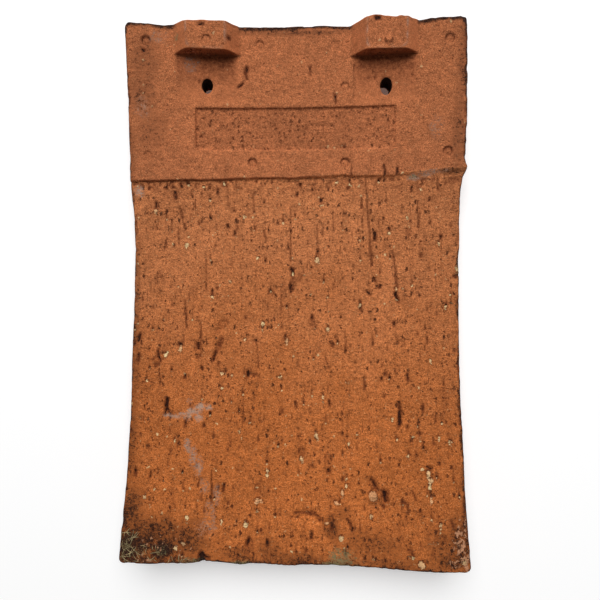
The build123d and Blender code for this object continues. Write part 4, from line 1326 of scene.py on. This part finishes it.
class ClayFinish:
    """The nodes of the fired clay: noises and point values, and layers laid over one another."""

    def __init__(self, colours):
        self.colours = colours
        self.material = bpy.data.materials.new("fired_clay")
        self.material.use_nodes = True
        self.tree = tree = self.material.node_tree
        self.shader = tree.nodes["Principled BSDF"]
        self.shader.inputs["Specular IOR Level"].default_value = 0.15
        self.mm = mm = millimetres(tree)
        self.read = {
            name: add_node(tree, "ShaderNodeAttribute", attribute_name=name).outputs["Fac"]
            for name in (*PLAIN_VALUES, "pit", "head", "lime", "soot_and_shade", "lichen", "flake")
        }
        self.body = calc(tree, "SUBTRACT", 1.0, self.read["head"])
        self.rough = calc(tree, "MAXIMUM", self.body, self.times(self.read["panel"], 0.8))
        self.wide = spread_noise(tree, mm, 1 / CLAY_WAVES["wide"], 3.0)
        self.cluster = spread_noise(tree, mm, 1 / CLAY_WAVES["cluster"], 3.0)
        self.mottle = spread_noise(tree, mm, 1 / CLAY_WAVES["mottle"], 4.0, 0.65)
        self.ripple = spread_noise(tree, mm, 1 / CLAY_WAVES["ripple"], 3.0, 0.6, (1.0, 2.0, 1.0))
        self.crumble = spread_noise(tree, mm, 1 / CLAY_WAVES["crumble"], 4.0, 0.75)
        self.fine = spread_noise(tree, mm, 1 / CLAY_WAVES["fine"], 3.0, 0.75)
        self.mottled = calc(tree, "SUBTRACT", self.mottle, 0.5)
        self.crumbly = calc(tree, "SUBTRACT", self.crumble, 0.5)
        self.ragged = calc(tree, "MULTIPLY_ADD", self.mottled, 0.8, self.times(self.crumbly, 3.4))
        self.stir = calc(tree, "MULTIPLY_ADD", self.read["calm"], -0.6, 1.0)

    def times(self, *factors):
        """The product of some values."""
        product = factors[0]
        for factor in factors[1:]:
            product = calc(self.tree, "MULTIPLY", product, factor)
        return product

    def lay(self, share, colour):
        """Lays a colour over what is there, by a share from 0 to 1."""
        self.colour = blend(self.tree, share, self.colour, colour)

    def shade(self, value, low, high, dark, bright):
        """Darkens or brightens what is there as a value goes from low to high."""
        level = tone(self.tree, value, low, high, dark, bright)
        self.colour = blend(self.tree, 1.0, self.colour, level, "MULTIPLY")

    def lay_clay(self):
        """Body clay that warms towards the tail, head clay, darker sides, and their mottle and grain."""
        tree, colours, read = self.tree, self.colours, self.read
        axis = add_node(tree, "ShaderNodeSeparateXYZ", {0: self.mm}).outputs
        warm = ramp(tree, calc(tree, "MULTIPLY_ADD", self.wide, 90.0, axis["Y"]), 95.0, -45.0)
        self.colour = blend(tree, warm, colours.body, colours.tail)
        in_head = calc(tree, "MULTIPLY_ADD", self.mottle, 0.3, read["head"])
        self.lay(ramp(tree, in_head, 0.4, 1.0), colours.head)
        self.shade(calc(tree, "ABSOLUTE", calc(tree, "ADD", axis["X"], 3.0)), 40.0, 92.0, 1.02, 0.88)
        self.shade(self.wide, 0.35, 0.65, 0.94, 1.05)
        self.shade(self.mottle, 0.34, 0.66, 0.88, 1.09)
        # Paler lumps, flap and screw boss, and painted highlights on the panel's lower wall and on lit gouge
        # floors
        self.shade(read["lump_and_highlight"], 0.0, 1.5, 1.0, 1.24)
        plain = self.colour
        self.shade(self.fine, 0.34, 0.66, 0.56, 1.3)
        self.shade(self.crumble, 0.36, 0.6, 0.84, 1.07)
        self.shade(self.ripple, 0.34, 0.64, 0.86, 1.08)
        self.colour = blend(tree, self.stir, plain, self.colour)
        self.lay(self.times(ramp(tree, self.fine, 0.5, 0.68), self.stir, 0.1), colours.grit)
        streak = spread_noise(tree, self.mm, 1 / CLAY_WAVES["streak"], 2.0, 0.6, (1.0, 0.07, 1.0))
        hair = self.times(ramp(tree, streak, 0.4, 0.3), ramp(tree, self.cluster, 0.45, 0.6))
        self.lay(self.times(hair, self.body, 0.55), colours.shade)
        self.lay(self.times(read["panel"], 0.09), colours.shade)

    def lay_crumbs(self):
        """Dark specks, crumbs torn out of the body and the panel, pale dust and grit, all scattered spots."""
        tree, colours, read = self.tree, self.colours, self.read
        group = spots_group()
        waves = {"Vector": self.mm, "Scale": 0.9, "Detail": 4.0}
        jolt = add_node(tree, "ShaderNodeTexNoise", waves).outputs["Color"]
        place = {0: jolt, 1: (2.4, 2.4, 2.4), 2: self.mm}
        jolt = add_node(tree, "ShaderNodeVectorMath", place, operation="MULTIPLY_ADD").outputs[0]
        specks = spots(tree, group, jolt, *CLAY_SPOTS["specks"])
        crumbs = spots(tree, group, jolt, *CLAY_SPOTS["crumbs"])
        grains = spots(tree, group, jolt, *CLAY_SPOTS["grains"])
        self.grit = spots(tree, group, jolt, *CLAY_SPOTS["grit"])["Mask"]
        dust = spots(tree, group, jolt, *CLAY_SPOTS["dust"])["Mask"]
        pressed = calc(tree, "MULTIPLY_ADD", read["calm"], -0.28, 0.54)
        speck = self.times(specks["Mask"], calc(tree, "MULTIPLY_ADD", self.body, 0.28, pressed))
        grain = self.times(grains["Mask"], read["panel"], ramp(tree, self.crumble, 0.4, 0.6, 0.95, 0.2))
        self.speck = calc(tree, "MAXIMUM", speck, grain)
        self.lay(self.speck, colours.shade)
        self.crumb = self.times(crumbs["Mask"], self.rough, ramp(tree, self.cluster, 0.34, 0.56))
        self.lay(self.times(self.crumb, 0.88), blend(tree, crumbs["Tint"], colours.pit, colours.shade))
        self.lay(self.times(dust, calc(tree, "MULTIPLY_ADD", self.body, 0.16, 0.12)), colours.grit)
        self.lay(self.times(self.grit, calc(tree, "MULTIPLY_ADD", self.body, 0.35, 0.4)), colours.grit)

    def lay_marks(self):
        """The grooves, drags, pits and stones that the points of the tile hold, with ragged edges, and the
        painted shade that they carry.
        """
        tree, colours, read = self.tree, self.colours, self.read
        # The groove value carries real groove colour and painted shade alike
        grain = ramp(tree, self.crumble, 0.35, 0.62, 1.2, 0.5)
        groove_and_shade = calc(tree, "MULTIPLY", read["groove_and_shade"], grain, clamp=True)
        self.lay(self.times(groove_and_shade, 0.85), colours.shade)
        broken = calc(tree, "MULTIPLY_ADD", self.ragged, 0.4, read["drag"])
        self.drag = ramp(tree, calc(tree, "ADD", self.mottled, broken), -0.25, 0.3)
        self.lay(self.times(self.drag, ramp(tree, self.crumble, 0.38, 0.6, 0.95, 0.5)), colours.shade)
        # Painted shade in pits and in the bores of the holes: black, turning brown in places
        self.pit = ramp(tree, calc(tree, "ADD", self.ragged, read["pit"]), -0.15, 0.3)
        floor = blend(tree, ramp(tree, self.fine, 0.48, 0.66, 0.0, 0.7), colours.pit, colours.shade)
        self.lay(self.times(self.pit, 0.95), floor)
        self.stone = ramp(tree, calc(tree, "MULTIPLY_ADD", self.ragged, 1.15, read["stone"]), -0.05, 0.15)
        pebble = blend(tree, read["pale"], colours.pebble, colours.grit)
        chalky = calc(tree, "ADD", self.fine, self.crumbly)
        pebble = blend(tree, 1.0, pebble, tone(tree, chalky, 0.36, 0.62, 0.6, 1.1), "MULTIPLY")
        self.lay(self.times(self.stone, 0.95), pebble)

    def lay_dirt(self):
        """Soot and painted shade, crust that flakes off the soot, rubbed lines, lime and lichen, dithered by
        the clay's grain.
        """
        tree, colours, read = self.tree, self.colours, self.read
        grainy = calc(tree, "SUBTRACT", self.fine, 0.5)
        crust = calc(tree, "MULTIPLY_ADD", self.crumbly, 1.8, self.times(grainy, 2.4))
        crust = calc(tree, "ADD", self.mottled, crust)
        bare = calc(tree, "MULTIPLY_ADD", self.stone, -0.65, 0.9)
        self.lay(self.times(settled(tree, crust, read["soot_and_shade"], 0.2, 0.9), bare), colours.soot_and_shade)
        black = settled(tree, self.times(crust, 1.5), read["soot_and_shade"], 0.72, 1.2)
        self.lay(self.times(black, bare), colours.pit)
        chips = spread_noise(tree, self.mm, 1 / CLAY_WAVES["chips"], 3.0, 0.65, (1.0, 0.7, 1.0))
        loose = ramp(tree, calc(tree, "MULTIPLY_ADD", read["flake"], 0.31, chips), 0.75, 0.82)
        self.flake = self.times(loose, ramp(tree, read["flake"], 0.0, 0.3))
        chip = blend(tree, 1.0, colours.flake, tone(tree, self.fine, 0.36, 0.62, 0.62, 1.1), "MULTIPLY")
        self.lay(self.times(self.flake, 0.85), chip)
        self.lay(self.times(read["rub"], ramp(tree, self.fine, 0.35, 0.55), 0.62), colours.lime)
        lime = settled(tree, self.times(crust, -1.0), read["lime"], 0.2, 1.0)
        film = blend(tree, 1.0, colours.lime, tone(tree, self.fine, 0.4, 0.6, 0.86, 1.16), "MULTIPLY")
        self.lay(self.times(lime, 0.78), film)
        lichen = settled(tree, self.times(crust, -1.6), read["lichen"], 0.25, 1.05)
        self.lay(self.times(lichen, 0.8), colours.lichen)

    def raise_grain(self):
        """The bump of the grain, the specks and the marks, in millimetres."""
        tree = self.tree
        height = self.times(self.ripple, calc(tree, "MULTIPLY_ADD", self.body, 0.4, 0.3))
        for grain, rough, least in ((self.fine, 0.08, 0.26), (self.crumble, 0.12, 0.28)):
            strength = calc(tree, "MULTIPLY_ADD", self.rough, rough, least)
            height = calc(tree, "MULTIPLY_ADD", grain, strength, height)
        height = self.times(height, self.stir)
        layers = (
            (self.speck, -0.4), (self.crumb, -0.5), (self.drag, -0.4), (self.pit, -0.5), (self.stone, 0.3),
            (self.grit, 0.15), (self.flake, 0.3),
        )
        for layer, tall in layers:
            height = calc(tree, "MULTIPLY_ADD", layer, tall, height)
        bump = add_node(tree, "ShaderNodeBump", {"Height": height, "Strength": 1.0, "Distance": MM})
        tree.links.new(bump.outputs[0], self.shader.inputs["Normal"])


def clay_material(colours):
    """Fired clay: mottled, grainy clay with pits, grit and stones, and the stains that have settled on it."""
    finish = ClayFinish(colours)
    finish.lay_clay()
    finish.lay_crumbs()
    finish.lay_marks()
    finish.lay_dirt()
    finish.raise_grain()
    inputs = finish.shader.inputs
    finish.tree.links.new(finish.colour, inputs["Base Color"])
    finish.tree.links.new(ramp(finish.tree, finish.fine, 0.3, 0.7, 0.82, 0.98), inputs["Roughness"])
    return finish.material


def fibre_material(colours):
    """Dry root fibres: tan, darker in patches, with a dull sheen."""
    material = bpy.data.materials.new("root_fibre")
    material.use_nodes = True
    tree = material.node_tree
    shader = tree.nodes["Principled BSDF"]
    shader.inputs["Specular IOR Level"].default_value = 0.25
    patch = spread_noise(tree, millimetres(tree), 1 / FIBRE_WAVE, 3.0)
    colour = blend(tree, 1.0, colours.fibre, tone(tree, patch, 0.35, 0.62, 0.42, 1.15), "MULTIPLY")
    tree.links.new(colour, shader.inputs["Base Color"])
    tree.links.new(ramp(tree, patch, 0.3, 0.7, 0.7, 0.9), shader.inputs["Roughness"])
    bump = add_node(tree, "ShaderNodeBump", {"Height": patch, "Strength": 0.6, "Distance": 0.1 * MM})
    tree.links.new(bump.outputs[0], shader.inputs["Normal"])
    return material


def new_object(name, mesh, material):
    """Links a mesh to the scene as an object with one material."""
    piece = bpy.data.objects.new(name, mesh)
    bpy.context.scene.collection.objects.link(piece)
    mesh.materials.append(material)
    return piece


def fibre_paths(form):
    """Middle lines of the fibres: each runs level, bends as a parabola and rises as a half sine."""
    draw = np.random.default_rng(form.seed)
    share = np.linspace(-0.5, 0.5, FIBRE_STEPS)
    paths = []
    for px, py, half_x, half_y, count in FIBRE_PATCHES:
        middle = form.on_face([px, py]) + draw.uniform(-1.0, 1.0, (count, 2)) * (half_x, half_y)
        length = draw.uniform(*FIBRE_LENGTHS, (count, 1))
        turn = draw.uniform(0.0, np.pi, (count, 1))
        bend = draw.uniform(-0.5, 0.5, (count, 1)) * length
        run, bow = length * share, bend * (share**2 - 0.1)
        x = middle[:, :1] + run * np.cos(turn) - bow * np.sin(turn)
        y = middle[:, 1:] + run * np.sin(turn) + bow * np.cos(turn)
        x = np.maximum(x, FIBRE_RADIUS - form.side(y))
        y = np.maximum(y, FIBRE_RADIUS + TAIL_SHORT + TAIL_EDGE_DIP - form.half_length)
        rise = FIBRE_LIFT * draw.uniform(0.4, 2.4, (count, 1)) * np.cos(np.pi * share)
        paths.append(np.stack([x, y, form.level(x, y, form.body) + rise], axis=-1))
    return np.concatenate(paths)


def fibre_mesh(paths):
    """Tubes of six sides along the paths, thinner at their ends, closed by a face at each end."""
    count, steps, _ = paths.shape
    sides = FIBRE_SIDES
    run = np.gradient(paths, axis=1)
    level = np.stack([-run[..., 1], run[..., 0], np.zeros((count, steps))], axis=-1)
    level /= np.linalg.norm(level, axis=-1, keepdims=True)
    upright = np.cross(run / np.linalg.norm(run, axis=-1, keepdims=True), level)
    angle = np.linspace(0.0, 2 * np.pi, sides, endpoint=False)
    radius = FIBRE_RADIUS * (1.0 - 0.7 * np.abs(np.linspace(-1.0, 1.0, steps)) ** 3)
    ring = np.cos(angle)[:, None] * level[:, :, None] + np.sin(angle)[:, None] * upright[:, :, None]
    points = paths[:, :, None] + ring * radius[None, :, None, None]
    index = np.arange(count * steps * sides).reshape(count, steps, sides)
    ahead = np.roll(index, -1, axis=2)
    walls = np.stack([index[:, :-1], ahead[:, :-1], ahead[:, 1:], index[:, 1:]], axis=-1).reshape(-1, 4)
    ends = np.concatenate([index[:, 0, ::-1], index[:, -1]])
    mesh = bpy.data.meshes.new("root_fibres")
    mesh.from_pydata((points.reshape(-1, 3) * MM).tolist(), [], walls.tolist() + ends.tolist())
    mesh.polygons.foreach_set("use_smooth", np.ones(len(mesh.polygons), bool))
    return mesh


class TILE_OT_fired_tile(bpy.types.Operator):
    """Builds the tile with its nibs, holes, relief and fired finish"""

    bl_idname = "tile.fired_tile"
    bl_label = "Fired Tile"

    def execute(self, context):
        form = TileForm(context.scene.tile_sizes)
        shell, relief = tile_surface(form)
        mesh, used = shell.mesh("clay_tile")
        for name, value in tile_values(form, shell, relief).items():
            store = mesh.attributes.new(name, "FLOAT", "POINT")
            store.data.foreach_set("value", value[used].astype(np.float32))
        piece = new_object("clay_tile", mesh, clay_material(context.scene.clay_colours))
        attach(piece, "root")
        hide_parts("tile")
        return {"FINISHED"}


class TILE_OT_root_fibres(bpy.types.Operator):
    """Lays dry root fibres over the dirty corner of the tail"""

    bl_idname = "tile.root_fibres"
    bl_label = "Root Fibres"

    def execute(self, context):
        form = TileForm(context.scene.tile_sizes)
        mesh = fibre_mesh(fibre_paths(form))
        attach(new_object("root_fibres", mesh, fibre_material(context.scene.clay_colours)), "root")
        return {"FINISHED"}


class TILE_OT_studio(bpy.types.Operator):
    """Sets the floor, the soft light and the camera over the tile"""

    bl_idname = "tile.studio"
    bl_label = "Studio"

    def execute(self, context):
        scene, settings = context.scene, context.scene.tile_studio
        scene.view_settings.view_transform = "Standard"
        set_world(scene, settings)
        set_floor(settings)
        set_key_light(settings)
        set_camera(scene)
        return {"FINISHED"}


def seen_rays(tree):
    """1 for rays that show the background straight, by gloss or through glass, and 0 for the rest."""
    path = add_node(tree, "ShaderNodeLightPath").outputs
    shown = calc(tree, "MAXIMUM", path["Is Camera Ray"], path["Is Glossy Ray"])
    return calc(tree, "MAXIMUM", shown, path["Is Transmission Ray"])


def set_world(scene, settings):
    """An even white sky: white where it is seen, and at the chosen strength as light."""
    world = bpy.data.worlds.new("studio_sky")
    world.use_nodes = True
    scene.world = world
    tree = world.node_tree
    background = tree.nodes["Background"]
    background.inputs["Color"].default_value = (1.0, 1.0, 1.0, 1.0)
    lit = calc(tree, "MULTIPLY_ADD", seen_rays(tree), 1.0 - settings.sky, settings.sky)
    tree.links.new(lit, background.inputs["Strength"])


def set_floor(settings):
    """A wide pale floor that keeps the shadow, with a glow that lifts it to white away from the tile."""
    reach = FLOOR_REACH
    mesh = bpy.data.meshes.new("floor")
    corners = [(-reach, -reach, 0.0), (reach, -reach, 0.0), (reach, reach, 0.0), (-reach, reach, 0.0)]
    mesh.from_pydata(corners, [], [(0, 1, 2, 3)])
    material = bpy.data.materials.new("floor")
    material.use_nodes = True
    tree = material.node_tree
    shader = tree.nodes["Principled BSDF"]
    shader.inputs["Base Color"].default_value = (*settings.floor, 1.0)
    shader.inputs["Roughness"].default_value = 1.0
    shader.inputs["Specular IOR Level"].default_value = 0.0
    shader.inputs["Emission Color"].default_value = (1.0, 1.0, 1.0, 1.0)
    place = add_node(tree, "ShaderNodeTexCoord").outputs["Object"]
    axis = add_node(tree, "ShaderNodeSeparateXYZ", {0: place}).outputs
    along = calc(tree, "MULTIPLY", calc(tree, "ABSOLUTE", axis["Y"]), TILE_ASPECT)
    away = calc(tree, "MAXIMUM", calc(tree, "ABSOLUTE", axis["X"]), along)
    glow = calc(tree, "ADD", ramp(tree, away, *NEAR_GLOW), ramp(tree, away, *FAR_GLOW))
    tree.links.new(calc(tree, "MULTIPLY", seen_rays(tree), glow), shader.inputs["Emission Strength"])
    new_object("floor", mesh, material)


def set_key_light(settings):
    """One large soft lamp above the head end, turned to the middle of the tile."""
    lamp = bpy.data.lights.new("key", "AREA")
    lamp.shape = "DISK"
    lamp.size = KEY_SIZE
    lamp.energy = settings.key
    light = bpy.data.objects.new("key", lamp)
    bpy.context.scene.collection.objects.link(light)
    place = Matrix.Translation(KEY_PLACE)
    light.matrix_world = place @ (-place.translation).to_track_quat("-Z", "Y").to_matrix().to_4x4()


def set_camera(scene):
    """The camera of the photograph, from its fitted turn, place and focal length."""
    data = bpy.data.cameras.new("camera")
    data.sensor_width = SENSOR_WIDTH
    data.lens = FOCAL_PIXELS / PHOTO_PIXELS * SENSOR_WIDTH
    data.clip_start = CAMERA_NEAR
    camera = bpy.data.objects.new("camera", data)
    scene.collection.objects.link(camera)
    axes, eye = camera_frame()
    camera.matrix_world = Matrix.Translation(eye * MM) @ Matrix(axes.tolist()).to_4x4()
    scene.camera = camera


class TILE_PT_panel(bpy.types.Panel):
    """Sidebar panel with the sizes, the colours and the operators"""

    bl_idname = "TILE_PT_panel"
    bl_label = "Roof Tile"
    bl_space_type = "VIEW_3D"
    bl_region_type = "UI"
    bl_category = "Roof Tile"

    def draw(self, context):
        for group in (context.scene.tile_sizes, context.scene.clay_colours, context.scene.tile_studio):
            column = self.layout.column(align=True)
            for name in group.__annotations__:
                column.prop(group, name)
        for operator in (TILE_OT_fired_tile, TILE_OT_root_fibres, TILE_OT_studio):
            self.layout.operator(operator.bl_idname)


CLASSES = (
    TileSizes, ClayColours, StudioSettings,
    TILE_OT_fired_tile, TILE_OT_root_fibres, TILE_OT_studio, TILE_PT_panel,
)


def register():
    """Registers the classes and hangs the settings on the scene."""
    for item in CLASSES:
        bpy.utils.register_class(item)
    bpy.types.Scene.tile_sizes = PointerProperty(type=TileSizes)
    bpy.types.Scene.clay_colours = PointerProperty(type=ClayColours)
    bpy.types.Scene.tile_studio = PointerProperty(type=StudioSettings)


def unregister():
    """Takes the settings and the classes off again."""
    del bpy.types.Scene.tile_studio
    del bpy.types.Scene.clay_colours
    del bpy.types.Scene.tile_sizes
    for item in reversed(CLASSES):
        bpy.utils.unregister_class(item)


def main():
    """Builds the tile, its fibres and the studio."""
    register()
    bpy.ops.tile.fired_tile()
    bpy.ops.tile.root_fibres()
    bpy.ops.tile.studio()


if __name__ == "__main__":
    main()
